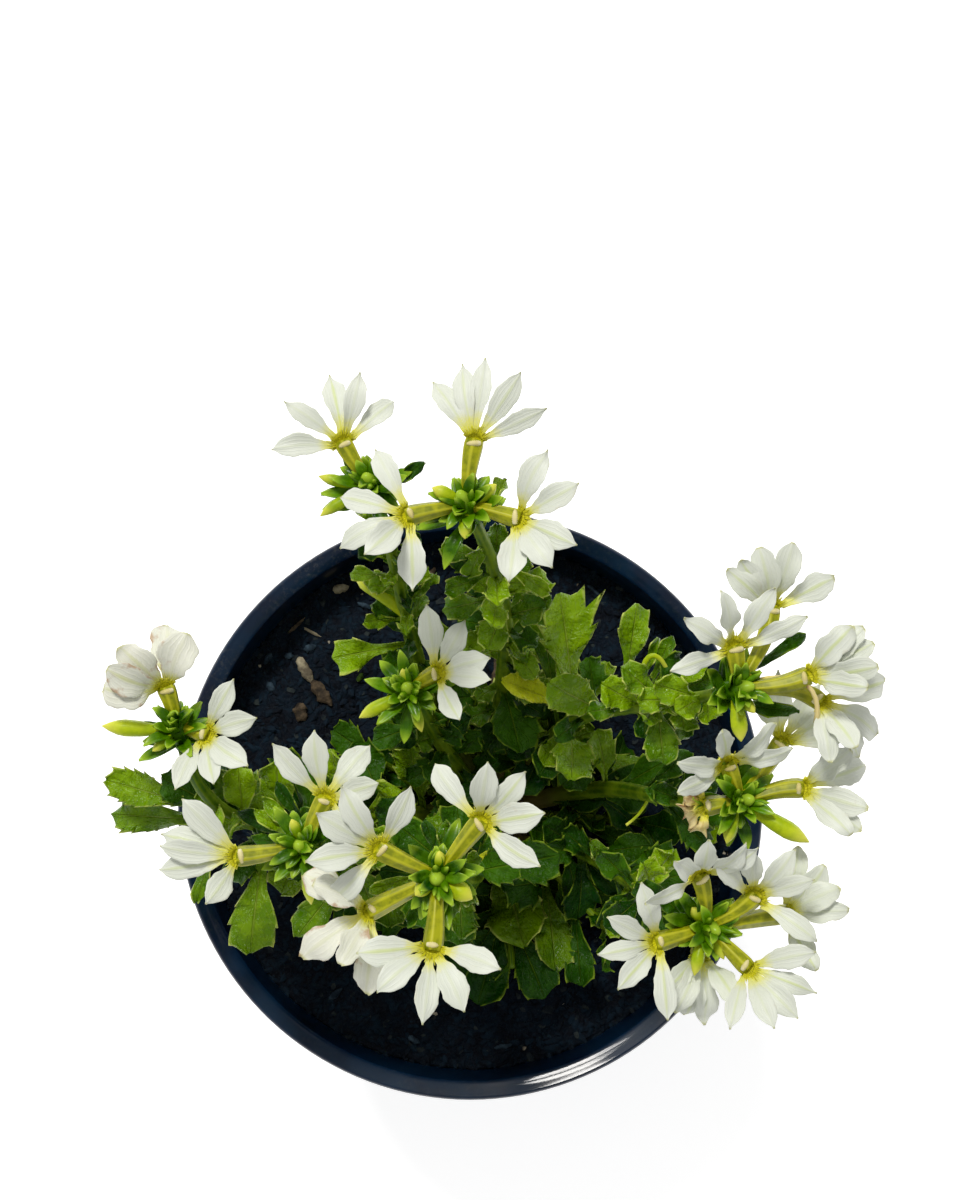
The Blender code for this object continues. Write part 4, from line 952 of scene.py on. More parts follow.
def tube_skin(mottle):
    """Olive-yellow ribbed flower tube with purple-brown flecks near its foot."""
    material, recipe, surface = new_finish("flower_tube")
    marks = recipe.call(mottle, Scale=420.0, Grain_Scale=2600.0)
    across, along = recipe.own_place()
    ribs = recipe.span(recipe.math("COSINE", recipe.math("MULTIPLY", across, math.tau * 6)), -0.3, 1.0)
    olive = recipe.blend(marks.outputs["Patches"], linear(112, 120, 0), linear(156, 158, 8))
    olive = recipe.blend(recipe.math("MULTIPLY", ribs, 0.5), olive, linear(194, 190, 48))
    flecks = recipe.math("MULTIPLY", recipe.span(recipe.noise(recipe.object_place(), 1500.0, 2.0), 0.62, 0.70),
                         recipe.span(along, 0.45, 0.1))
    recipe.feed(surface, "Base Color", recipe.blend(flecks, olive, linear(84, 50, 40)))
    surface.inputs["Roughness"].default_value = 0.42
    surface.inputs["Specular IOR Level"].default_value = 0.3
    recipe.feed(surface, "Normal", recipe.bump(ribs, 0.5, 0.00025))
    return material


def plain_growth(mottle, name, dark, light, tip, rough):
    """Buds, bracts and other small green growth that turns paler towards its tip."""
    material, recipe, surface = new_finish(name)
    marks = recipe.call(mottle, Scale=420.0, Grain_Scale=2600.0)
    _, along = recipe.own_place()
    shade = recipe.math("ADD", recipe.math("MULTIPLY", marks.outputs["Patches"], 0.4),
                        recipe.math("MULTIPLY", recipe.tone(), 0.6))
    body = recipe.blend(shade, dark, light)
    recipe.feed(surface, "Base Color", recipe.blend(recipe.span(along, 0.66, 1.0), body, tip))
    recipe.feed(surface, "Roughness", recipe.span(marks.outputs["Patches"], 0.0, 1.0, rough, rough + 0.14))
    surface.inputs["Specular IOR Level"].default_value = 0.18
    recipe.feed(surface, "Normal", recipe.bump(marks.outputs["Grain"], 0.3, 0.0001))
    return material


def make_finishes():
    mottle = make_mottle_group()
    veins = make_vein_group()
    return {
        "pot": moulded_plastic(mottle),
        "mix": damp_mix(mottle),
        "dark_chips": bark_chips(mottle, "dark_bark_chips", linear(2, 12, 22), linear(14, 32, 44)),
        "brown_chips": bark_chips(mottle, "brown_bark_chips", linear(20, 28, 34), linear(48, 54, 54)),
        "pale_chips": bark_chips(mottle, "pale_bark_chips", linear(96, 88, 76), linear(170, 162, 144)),
        "pale_bits": bark_chips(mottle, "pale_bark_bits", linear(92, 84, 70), linear(164, 154, 128)),
        "brown_bits": bark_chips(mottle, "brown_bark_bits", linear(46, 40, 34), linear(96, 82, 64)),
        "grey_bits": bark_chips(mottle, "grey_bark_bits", linear(24, 36, 46), linear(58, 74, 86)),
        "green_bits": bark_chips(mottle, "green_leaf_bits", linear(40, 60, 12), linear(84, 108, 30)),
        "bark": young_bark(mottle),
        "stem": green_stem(mottle),
        # The bright and deep leaf finishes are lit and shaded copies of one leaf colour: painted light and painted
        # shade.
        "leaf_bright": leaf_skin(mottle, veins, "lit_leaf", linear(52, 94, 0), linear(128, 162, 4),
                                 linear(206, 212, 110), 0.15, 0.18),
        "leaf_deep": leaf_skin(mottle, veins, "painted_shade_leaf", linear(8, 50, 0), linear(60, 100, 0),
                               linear(150, 172, 50), 0.28, 0.12),
        "leaf_yellow": leaf_skin(mottle, veins, "yellowing_leaf", linear(142, 156, 10), linear(192, 196, 36),
                                 linear(210, 208, 96), 0.28, 0.12),
        "petal": petal_skin(mottle, veins, "white_petal", linear(212, 216, 204), linear(192, 204, 124),
                            linear(176, 150, 110), 0.0),
        "petal_wilted": petal_skin(mottle, veins, "wilting_petal", linear(220, 220, 206), linear(194, 198, 130),
                                   linear(160, 112, 56), 0.55),
        "petal_dried": petal_skin(mottle, veins, "dried_petal", linear(222, 200, 128), linear(170, 136, 60),
                                  linear(124, 78, 28), 1.0),
        "throat": throat_skin(mottle),
        "tube": tube_skin(mottle),
        "stub": plain_growth(mottle, "cream_style", linear(196, 182, 112), linear(222, 212, 160),
                             linear(228, 220, 184), 0.5),
        "bract": plain_growth(mottle, "green_bract", linear(14, 58, 0), linear(92, 136, 4),
                              linear(150, 180, 48), 0.20),
        "bud": plain_growth(mottle, "green_yellow_bud", linear(104, 140, 8), linear(176, 190, 24),
                            linear(206, 206, 78), 0.34),
        "floor": plain_floor(mottle),
    }


def plain_floor(mottle):
    material, recipe, surface = new_finish("pale_floor")
    marks = recipe.call(mottle, Scale=6.0, Grain_Scale=900.0)
    recipe.feed(surface, "Base Color", recipe.blend(marks.outputs["Patches"], linear(250, 250, 249),
                                                    linear(252, 252, 252)))
    surface.inputs["Roughness"].default_value = 0.9
    surface.inputs["Emission Color"].default_value = (1.0, 1.0, 1.0, 1.0)
    surface.inputs["Emission Strength"].default_value = 0.55
    return material


# Pot and potting mix

def pot_outline():
    """The pot's section from the floor's middle, up inside, over the lip and down outside."""
    collar_base = POT_HEIGHT - COLLAR_DEPTH
    outer_wall = RIM_RADIUS - LIP_WIDTH + WALL
    body_top = outer_wall - COLLAR_STEP
    lip_edge = POT_HEIGHT - LIP_CROWN
    points = [
        (0, FLOOR),
        (BASE_RADIUS - WALL - 2.4 * MM, FLOOR),
        (BASE_RADIUS - WALL - 0.8 * MM, FLOOR + 0.5 * MM),
        (BASE_RADIUS - WALL, FLOOR + 2 * MM),
        (body_top - WALL, collar_base - COLLAR_STEP),
        (outer_wall - WALL - 0.4 * MM, collar_base),
    ]
    lip_inside = RIM_RADIUS - LIP_WIDTH
    bevel_foot = Vector((lip_inside + 0.45 * MM, lip_edge + 0.25 * MM))
    bevel_top = bevel_foot + Vector((1, math.tan(LIP_SLOPE))) * 2.5 * MM
    points += [(lip_inside, lip_edge - 0.5 * MM), (lip_inside + 0.12 * MM, lip_edge - 0.05 * MM)]
    for step in range(7):
        bulge = 0.05 * MM * math.sin(math.pi * step / 6)
        place = bevel_foot.lerp(bevel_top, step / 6)
        points.append((place.x, place.y + bulge))
    for step in range(1, 9):
        angle = math.pi / 2 * (1 - step / 8)
        points.append((bevel_top.x + 0.3 * MM + (RIM_RADIUS - bevel_top.x - 0.3 * MM) * math.cos(angle),
                       lip_edge - 0.3 * MM + (POT_HEIGHT - lip_edge + 0.3 * MM) * math.sin(angle)))
    points += [
        (RIM_RADIUS - 0.1 * MM, POT_HEIGHT - LIP_DEPTH + 0.5 * MM),
        (RIM_RADIUS - 0.6 * MM, POT_HEIGHT - LIP_DEPTH),
        (outer_wall + 0.4 * MM, POT_HEIGHT - LIP_DEPTH),
        (outer_wall, POT_HEIGHT - LIP_DEPTH - 0.4 * MM),
        (outer_wall - 0.35 * MM, collar_base + 0.5 * MM),
        (outer_wall - 0.8 * MM, collar_base),
        (body_top + 0.2 * MM, collar_base - COLLAR_STEP + 0.3 * MM),
        (body_top, collar_base - COLLAR_STEP - 0.4 * MM),
        (BASE_RADIUS + FOOT_STEP + 0.1 * MM, FOOT_DEPTH + 0.5 * MM),
        (BASE_RADIUS + FOOT_STEP - 0.2 * MM, FOOT_DEPTH),
        (BASE_RADIUS, FOOT_DEPTH - 0.2 * MM),
        (BASE_RADIUS - 0.2 * MM, 0.7 * MM),
        (BASE_RADIUS - 0.8 * MM, 0),
        (0, 0),
    ]
    return points


def make_pot(finish):
    """A pot turned from its section, with round drainage holes cut near the floor's edge."""
    outline = bmesh.new()
    verts = [outline.verts.new((radius, 0, height)) for radius, height in pot_outline()]
    for lower, upper in zip(verts, verts[1:]):
        outline.edges.new((lower, upper))
    bmesh.ops.spin(outline, geom=outline.verts[:] + outline.edges[:], axis=(0, 0, 1), cent=(0, 0, 0),
                   steps=144, angle=math.tau, use_merge=True)
    bmesh.ops.remove_doubles(outline, verts=outline.verts, dist=0.00001)
    bmesh.ops.recalc_face_normals(outline, faces=outline.faces)
    mesh = bpy.data.meshes.new("turned_pot")
    outline.to_mesh(mesh)
    outline.free()
    pot = bpy.data.objects.new("turned_pot", mesh)
    bpy.context.scene.collection.objects.link(pot)
    drills = bpy.data.collections.new("drills")
    bpy.context.scene.collection.children.link(drills)
    for index in range(DRAIN_COUNT):
        drill = bmesh.new()
        place = heading(math.tau * (index + 0.5) / DRAIN_COUNT) * DRAIN_CIRCLE + UP * FLOOR / 2
        bmesh.ops.create_cone(drill, cap_ends=True, segments=32, radius1=DRAIN_RADIUS, radius2=DRAIN_RADIUS,
                              depth=FLOOR * 3, matrix=Matrix.Translation(place))
        drill_mesh = bpy.data.meshes.new("drill")
        drill.to_mesh(drill_mesh)
        drill.free()
        drills.objects.link(bpy.data.objects.new("drill", drill_mesh))
    holes = pot.modifiers.new("holes", "BOOLEAN")
    holes.operand_type = "COLLECTION"
    holes.collection = drills
    smooth = finished_mesh(pot, "turned_pot")
    for drill in list(drills.objects):
        bpy.data.objects.remove(drill)
    bpy.data.collections.remove(drills)
    smooth.materials.append(finish)
    smooth.polygons.foreach_set("use_smooth", [True] * len(smooth.polygons))
    smooth.set_sharp_from_angle(angle=math.radians(32))
    pot.data = smooth
    return pot


def finished_mesh(thing, name):
    """The object's mesh with its modifiers applied; the modifiers are taken off the object."""
    graph = bpy.context.evaluated_depsgraph_get()
    mesh = bpy.data.meshes.new_from_object(thing.evaluated_get(graph))
    mesh.name = name
    thing.modifiers.clear()
    return mesh


def crumble(points, seed):
    """Smooth random lumps over the ground, summed from waves in many directions."""
    dice = random.Random(seed)
    height = np.zeros(len(points))
    for octave in range(5):
        size = 420 * 1.9 ** octave
        for _ in range(6):
            angle = dice.uniform(0, math.tau)
            phase = dice.uniform(0, math.tau)
            stretch = size * dice.uniform(0.6, 1.4)
            bend = np.sin(points[:, 1] * stretch * 0.7 + phase) * 0.9
            height += np.sin(stretch * (points[:, 0] * math.cos(angle) + points[:, 1] * math.sin(angle))
                             + phase + bend) * 0.62 ** octave
    return height / 6


def mix_height(x, y):
    """The mix's level: flat round the crown, gently uneven beyond it, as in the solids."""
    from_crown = np.hypot(x - CROWN_PLACE.x, y - CROWN_PLACE.y)
    ease = np.clip((from_crown - 17 * MM) / (18 * MM), 0.0, 1.0)
    wave = np.sin(x * 210 + 1.3) * np.cos(y * 180 - 0.4) + 0.5 * np.sin(x * 420 - y * 390)
    return MIX_LEVEL + 1.3 * MM * ease * wave / 1.5


def mix_radii():
    """The radii of the mix at the pot's floor, below the collar, at the collar and on top."""
    outer_wall = RIM_RADIUS - LIP_WIDTH + WALL
    gap = 0.3 * MM
    return (BASE_RADIUS - WALL - 2.6 * MM, outer_wall - COLLAR_STEP - WALL - 2 * gap,
            outer_wall - WALL - 0.4 * MM - gap)


def make_mix(finish):
    """The potting mix, crumbly on top and packed against the pot below."""
    sheaf = Sheaf()
    sides = 220
    floor_radius, step_radius, top_radius = mix_radii()
    angles = math.tau * np.arange(sides) / sides
    rings = []
    collar_base = POT_HEIGHT - COLLAR_DEPTH
    for radius, height in ((floor_radius, FLOOR + 0.3 * MM), (step_radius, collar_base - COLLAR_STEP),
                           (top_radius, collar_base + 0.3 * MM)):
        rings.append(np.stack([np.cos(angles) * radius, np.sin(angles) * radius, np.full(sides, height)], -1))
    for share in np.linspace(1.0, 0.02, 95):
        x = np.cos(angles) * top_radius * share
        y = np.sin(angles) * top_radius * share
        rings.append(np.stack([x, y, mix_height(x, y)], -1))
    points = np.concatenate(rings)
    top = np.arange(len(points)) >= 4 * sides
    points[top, 2] += crumble(points[top], 5) * 0.75 * MM
    middle = np.array([[0, 0, FLOOR + 0.3 * MM], [0, 0, MIX_LEVEL]])
    faces = []
    rows = len(rings)
    for row in range(rows - 1):
        for corner in range(sides):
            following = (corner + 1) % sides
            faces.append([row * sides + corner, row * sides + following,
                          (row + 1) * sides + following, (row + 1) * sides + corner])
    for corner in range(sides):
        following = (corner + 1) % sides
        faces.append([following, corner, rows * sides])
        faces.append([(rows - 1) * sides + corner, (rows - 1) * sides + following, rows * sides + 1])
    points = np.concatenate([points, middle])
    sheaf.add(points, faces, np.zeros((len(points), 2)))
    return sheaf.make("potting_mix_ground", finish)


def add_bit(sheaf, bit, dice):
    """A longer piece of bark, uneven and pressed into the mix."""
    x, y, length, thickness, turn, _ = bit
    middle = Vector((x * MM, y * MM, float(mix_height(x * MM, y * MM)) + thickness * 0.25 * MM))
    along = heading(math.radians(turn))
    points = [middle + along * (length * MM * (share - 0.5))
              + Vector([dice.uniform(-0.06, 0.06) * thickness * MM for _ in range(3)])
              for share in np.linspace(0, 1, 9)]
    radii = [thickness / 2 * MM * form * dice.uniform(0.78, 1.15)
             for form in (0.25, 0.7, 0.95, 1.0, 0.9, 1.0, 0.85, 0.6, 0.2)]
    sheaf.add(*limb_shell(points, radii, 9, ribs=3, rib_depth=0.18), tone=dice.random())


def add_stalk(sheaf, root, points, radii, dice):
    """A spent bud or stalk that bends away from its limb."""
    bends = [root] + [Vector(point) * MM for point in points]
    course = [bezier(*bends, step / 12) for step in range(13)]
    girth = smooth_curve((0.0, 0.4, 0.8, 1.0), radii, np.linspace(0, 1, 13)) * MM
    sheaf.add(*limb_shell(course, girth, 12, ribs=4, rib_depth=0.06), tone=dice.uniform(0.7, 1.0))


def chip_mesh(seed, size, flatness):
    """One small broken piece of bark."""
    dice = random.Random(seed)
    chip = bmesh.new()
    bmesh.ops.create_icosphere(chip, subdivisions=1, radius=size)
    for vert in chip.verts:
        vert.co *= dice.uniform(0.72, 1.2)
        vert.co.x *= 1.5
        vert.co.z *= flatness
    mesh = bpy.data.meshes.new("chip")
    chip.to_mesh(mesh)
    chip.free()
    thing = bpy.data.objects.new("chip", mesh)
    bpy.context.scene.collection.objects.link(thing)
    return thing


def scatter_tree(material):
    """Nodes that strew one chip over the ground, turned and sized at random."""
    tree = bpy.data.node_groups.new("strew_chips", "GeometryNodeTree")
    sockets = {}
    for name, kind, way in (("Ground", "NodeSocketGeometry", "INPUT"), ("Chip", "NodeSocketObject", "INPUT"),
                            ("Spacing", "NodeSocketFloat", "INPUT"), ("Per Square Metre", "NodeSocketFloat", "INPUT"),
                            ("Least Size", "NodeSocketFloat", "INPUT"), ("Seed", "NodeSocketInt", "INPUT"),
                            ("Chips", "NodeSocketGeometry", "OUTPUT")):
        sockets[name] = tree.interface.new_socket(name=name, in_out=way, socket_type=kind).identifier
    recipe = Recipe(tree)
    given = recipe.add("NodeGroupInput")
    put = recipe.add("NodeGroupOutput")
    place = recipe.add("GeometryNodeInputPosition").outputs[0]
    split = recipe.add("ShaderNodeSeparateXYZ", Vector=place)
    on_top = recipe.math("GREATER_THAN", split.outputs["Z"], MIX_LEVEL - 3.5 * MM)
    strewn = recipe.add("GeometryNodeDistributePointsOnFaces", {"distribute_method": "POISSON"})
    for socket, value in (("Mesh", given.outputs["Ground"]), ("Selection", on_top),
                          ("Distance Min", given.outputs["Spacing"]),
                          ("Density Max", given.outputs["Per Square Metre"]), ("Seed", given.outputs["Seed"])):
        recipe.feed(strewn, socket, value)
    chip = recipe.add("GeometryNodeObjectInfo", Object=given.outputs["Chip"])
    turn = recipe.add("FunctionNodeRandomValue", {"data_type": "FLOAT_VECTOR"})
    recipe.feed(turn, "0", (-0.5, -0.5, 0.0))
    recipe.feed(turn, "1", (0.5, 0.5, math.tau))
    recipe.feed(turn, "Seed", given.outputs["Seed"])
    size = recipe.add("FunctionNodeRandomValue", {"data_type": "FLOAT"})
    recipe.feed(size, "2", given.outputs["Least Size"])
    recipe.feed(size, "3", 1.0)
    recipe.feed(size, "Seed", given.outputs["Seed"])
    placed = recipe.add("GeometryNodeInstanceOnPoints")
    for socket, value in (("Points", strewn.outputs["Points"]), ("Instance", chip.outputs["Geometry"]),
                          ("Rotation", turn.outputs[0]), ("Scale", size.outputs[1])):
        recipe.feed(placed, socket, value)
    real = recipe.add("GeometryNodeRealizeInstances", Geometry=placed.outputs["Instances"])
    coated = recipe.add("GeometryNodeSetMaterial", Geometry=real.outputs["Geometry"])
    coated.inputs["Material"].default_value = material
    recipe.feed(put, "Chips", coated.outputs["Geometry"])
    return tree, sockets


def strew_chips(name, ground, finish, seed, size, flatness, spacing, density):
    tree, sockets = scatter_tree(finish)
    chip = chip_mesh(seed, size, flatness)
    chips = bpy.data.objects.new(name, ground.data.copy())
    bpy.context.scene.collection.objects.link(chips)
    strewing = chips.modifiers.new("strewing", "NODES")
    strewing.node_group = tree
    for socket, value in (("Chip", chip), ("Spacing", spacing), ("Per Square Metre", density),
                          ("Least Size", 0.35), ("Seed", seed)):
        strewing[sockets[socket]] = value
    mesh = finished_mesh(chips, name)
    chips.data = mesh
    bpy.data.objects.remove(chip)
    return chips


# Crown, stems and shoots

def make_crown(finish):
    sheaf = Sheaf()
    shares = np.linspace(0.0, 1.0, 40)
    dice = random.Random(11)
    phases = [dice.uniform(0, math.tau) for _ in range(4)]
    sides = 48
    angles = math.tau * np.arange(sides) / sides
    rings = []
    for share in shares:
        axis = np.array(CROWN_PLACE + CROWN_LEAN * share + UP * CROWN_HEIGHT * share)
        ridges = (0.05 * np.sin(5 * angles + phases[0] + 3 * share) + 0.035 * np.sin(9 * angles + phases[1])
                  + 0.025 * np.sin(4 * angles + 22 * share + phases[2]))
        radius = crown_radius(share) * (0.97 + ridges)
        rings.append(axis + np.stack([np.cos(angles) * radius, np.sin(angles) * radius, 0 * angles], -1))
    points = np.concatenate(rings + [np.array([CROWN_PLACE]), rings[-1].mean(axis=0)[None]])
    rows = len(rings)
    faces = []
    for row in range(rows - 1):
        for corner in range(sides):
            following = (corner + 1) % sides
            faces.append([row * sides + corner, row * sides + following,
                          (row + 1) * sides + following, (row + 1) * sides + corner])
    for corner in range(sides):
        following = (corner + 1) % sides
        faces.append([following, corner, rows * sides])
        faces.append([(rows - 1) * sides + corner, (rows - 1) * sides + following, rows * sides + 1])
    sheaf.add(points, faces, np.zeros((len(points), 2)))
    return sheaf.make("crown_bark", finish)


def add_stem(sheaf, course, radius, tip_radius, dice, sides=14):
    """One stem from the crown to its tip, ribbed, with a slight swelling at every joint."""
    length = course_length(course)
    count = max(8, round(length / LIMB_SPACING))
    phase = dice.uniform(0, math.tau)
    points = []
    radii = []
    for step in range(count + 1):
        share = step / count
        points.append(bezier(*course, share))
        joints = max(0.0, math.cos(share * length / LEAF_SPACING / 1.6 * math.tau + phase)) ** 6
        radii.append((radius + (tip_radius - radius) * share) * (0.97 + 0.10 * joints))
    sheaf.add(*limb_shell(points, radii, sides, ribs=5, rib_depth=0.05), tone=dice.random())


# Leaves

class Space:
    """The room that leaves and flowers take, and what has to stay in the photograph's view."""

    def __init__(self):
        self.taken = []
        self.in_view = [(Vector((x, y)) * MM, radius * MM, 0.0) for x, y, radius in OPEN_PLACES]

    def tree(self, outline, matrix):
        points = [matrix @ point for point in outline]
        return BVHTree.FromPolygons(points, [(0, 1, 2), (1, 3, 2), (2, 3, 4), (3, 5, 4)])

    def is_free(self, owner, outline, matrix):
        blade = self.tree(outline, matrix)
        return not any(blade.overlap(other) for name, other in self.taken if name != owner)

    def fill(self, owner, outline, matrix):
        self.taken.append((owner, self.tree(outline, matrix)))

    def fill_flower(self, owner, throat, reach, spread):
        """Take the room of a flower's fan and of what lies close under it."""
        for angle in (-0.36, 0.0, 0.36):
            turned = throat @ Matrix.Rotation(angle * spread, 4, "Z")
            for below in (0.0, -1.6, -3.2):
                self.fill(owner, blade_outline(reach, reach * 0.5), turned @ Matrix.Translation((0, 0, below * MM)))

    def seen_at(self, place):
        """Where the view line through a place meets the level of the mix, and its magnification."""
        nearer = (EYE.z - MIX_LEVEL) / (EYE.z - place.z)
        return (EYE + (place - EYE) * nearer).to_2d(), nearer

    def keep_in_view(self, length, width, matrix):
        for share, breadth in ((0.5, 0.26), (0.68, 0.38), (0.86, 0.32)):
            place = matrix @ Vector((0, share * length, 0))
            middle, nearer = self.seen_at(place)
            self.in_view.append((middle, breadth * width * nearer, place.z))

    def hides(self, outline, matrix):
        """Whether a blade would hide a shown leaf or an open place from the photograph's view."""
        middles = [outline[first].lerp(outline[first + 1], 0.5) for first in (0, 2, 4)]
        for point in outline + middles:
            place = matrix @ point
            seen, _ = self.seen_at(place)
            if any(place.z > height and (seen - middle).length < radius
                   for middle, radius, height in self.in_view):
                return True
        return False


def blade_outline(length, width):
    """Six points that stand in for a blade past its foot."""
    return [Vector(point) for point in (
        (-0.06 * width, 0.22 * length, 0), (0.06 * width, 0.22 * length, 0),
        (-0.46 * width, 0.62 * length, 0), (0.46 * width, 0.62 * length, 0),
        (-0.2 * width, 0.95 * length, 0), (0.2 * width, 0.95 * length, 0))]


def leaf_rows(teeth, first):
    """The rows along a leaf: plain ones up to its first tooth, then five for each tooth."""
    pitch = (0.93 - first) / teeth
    rows = list(np.linspace(0.0, first, 6)[:-1])
    for tooth in range(teeth):
        start = first + tooth * pitch
        rows += [start + pitch * way for way in TOOTH_WAYS]
    return np.array(rows + [0.95, 0.985, 1.0])


def leaf_shell(dice, length, width, arch, fold, teeth, depth=0.17, first=0.36):
    """A toothed leaf along +Y, its root at the origin and its face to +Z."""
    rows = leaf_rows(teeth, first)
    across = np.tile(LEAF_COLUMNS, (len(rows), 1))
    along = np.repeat(rows[:, None], len(LEAF_COLUMNS), axis=1)
    blade = np.interp(rows, (0.0, first, 1.0), (0.0, 0.36, 1.0))
    plain = smooth_curve((0.0, 0.12, 0.30, 0.48, 0.66, 0.80, 0.92, 1.0),
                         (0.13, 0.17, 0.30, 0.66, 0.94, 0.92, 0.60, 0.10), blade)
    half = np.zeros_like(across)
    forward = np.zeros_like(across)
    points = np.zeros_like(across)
    for edge in (-1, 1):
        heights = [dice.uniform(0.5, 1.3) * depth for _ in range(teeth)]
        bite = np.zeros(len(rows))
        bite[5:-3] = np.outer(heights, TOOTH_DEPTHS).ravel()
        columns = np.sign(LEAF_COLUMNS) == edge
        side_half = plain * (0.86 + bite)
        pull = np.abs(LEAF_COLUMNS[columns]) ** 3
        half[:, columns] = (plain[:, None] * 0.88) * (1 - pull) + side_half[:, None] * pull
        forward[:, columns] = (bite[:, None] * 0.24) * pull
        points[:, columns] = (bite / max(heights))[:, None] * pull
    x = across * half * width / 2
    bend = arch * rows
    step = np.diff(np.concatenate([[0.0], rows])) * length
    y = np.cumsum(np.cos(bend) * step)
    z = -np.cumsum(np.sin(bend) * step)
    wave = dice.uniform(0.7, 2.0) * MM
    phase = dice.uniform(0, math.tau)
    ripple = wave * np.sin(along * math.tau * 2.1 + phase + (across > 0) * 1.9) * np.abs(across) ** 2
    groove = -0.22 * MM * np.exp(-(across / 0.16) ** 2) * (1 - along)
    lift = fold * np.abs(x) + ripple * (along > 0.1) + groove + dice.uniform(-0.4, 0.9) * MM * points
    twist = dice.uniform(-0.35, 0.35) * along
    normal = np.stack([np.zeros(len(rows)), np.sin(bend), np.cos(bend)], axis=-1)
    grid = np.stack([x * np.cos(twist), y[:, None] + forward * length, z[:, None] + x * np.sin(twist)], axis=-1)
    grid = grid + lift[..., None] * normal[:, None, :]
    return thin_shell(grid, LEAF_THICKNESS, across * (0.92 + 0.08 * points), along)


def leaf_matrix(course, share, azimuth, opening, root_depth):
    """Where a leaf stands: its root in the limb, leaning out and facing the light."""
    place = bezier(*course, share)
    axis = (bezier(*course, min(1.0, share + 0.02)) - bezier(*course, share - 0.02)).normalized()
    side = axis.orthogonal().normalized()
    side.rotate(Matrix.Rotation(azimuth, 3, axis))
    forward = side * math.sin(opening) + axis * math.cos(opening)
    return frame_at(place + side * root_depth, forward, axis + UP * 0.8)


def place_leaves(owner, course, leaves, sheaves, space, dice):
    """The leaves that the photograph shows, each from its limb to where its tip is seen."""
    for share, tip, width, teeth, depth, arch, tone in leaves:
        root = bezier(*course, share)
        reach = Vector(tip) * MM - root
        length = reach.length * (1 + arch ** 2 / 24)
        width = width * MM
        first = min(max(1 - 1.25 * width / length, 0.28), 0.50)
        face = UP + Vector((dice.uniform(-0.3, 0.3), dice.uniform(-0.3, 0.3), 0))
        matrix = frame_at(root, reach, face) @ Matrix.Rotation(arch / 2, 4, "X")
        space.fill(owner, blade_outline(length, width), matrix)
        space.keep_in_view(length, width, matrix)
        shell = leaf_shell(dice, length, width / 0.9, arch, dice.uniform(0.05, 0.36), teeth, depth, first)
        sheaves["leaf_" + tone].add(*shell, matrix=matrix, tone=dice.random())


def grow_leaves(owner, course, leafy, radius, sheaves, space, dice):
    """Leaves up one limb by the golden angle, each where it has room; the rest are left out."""
    first, last, size, deep = leafy
    count = max(3, round(course_length(course, first, last) / (LEAF_SPACING * max(size, 0.6))))
    azimuth = dice.uniform(0, math.tau)
    for index in range(count):
        share = first + (last - first) * (index + 0.6) / count
        azimuth += GOLDEN_ANGLE
        scale = size * (1.0 - 0.34 * index / count) * dice.uniform(0.82, 1.12)
        length = LEAF_LENGTH * scale
        width = LEAF_WIDTH * scale * dice.uniform(0.88, 1.1)
        for nudge, shrink in LEAF_TRIES:
            opening = math.radians(64 - 20 * index / count) + nudge / 4
            matrix = leaf_matrix(course, share, azimuth + nudge, opening, radius * 0.45)
            outline = blade_outline(length * shrink, width * shrink)
            forward = matrix.to_3x3() @ Vector((0, 1, 0))
            if forward.z < -0.30:
                continue
            if space.is_free(owner, outline, matrix) and not space.hides(outline, matrix):
                space.fill(owner, outline, matrix)
                shell = leaf_shell(dice, length * shrink, width * shrink, dice.uniform(0.15, 0.95),
                                   dice.uniform(0.05, 0.38), dice.choice((3, 4, 4, 5)), dice.uniform(0.12, 0.3))
                # Deep leaves take the darker, shaded copy of the leaf finish, a painted shade; the rest take the lit
                # copy.
                tone = "deep" if dice.random() < deep else "bright"
                sheaves["leaf_" + tone].add(*shell, matrix=matrix, tone=dice.random())
                break


# Flowers

def petal_bend(dice, length, reach, fan):
    """How a petal rises and curls along its length, so that it reaches as far as it should."""
    rows = PETAL_ROWS
    curl = math.radians(fan["curl"] + dice.uniform(-22, 22))
    if reach is None:
        return math.radians(fan["rise"] + dice.uniform(-13, 13)) + curl * rows ** 1.3
    low, high = math.radians(12), math.radians(60)
    for _ in range(12):
        rise = (low + high) / 2
        bend = rise + curl * rows ** 1.3
        if np.sum(np.cos(bend[1:]) * np.diff(rows)) * length > reach:
            low = rise
        else:
            high = rise
    return bend


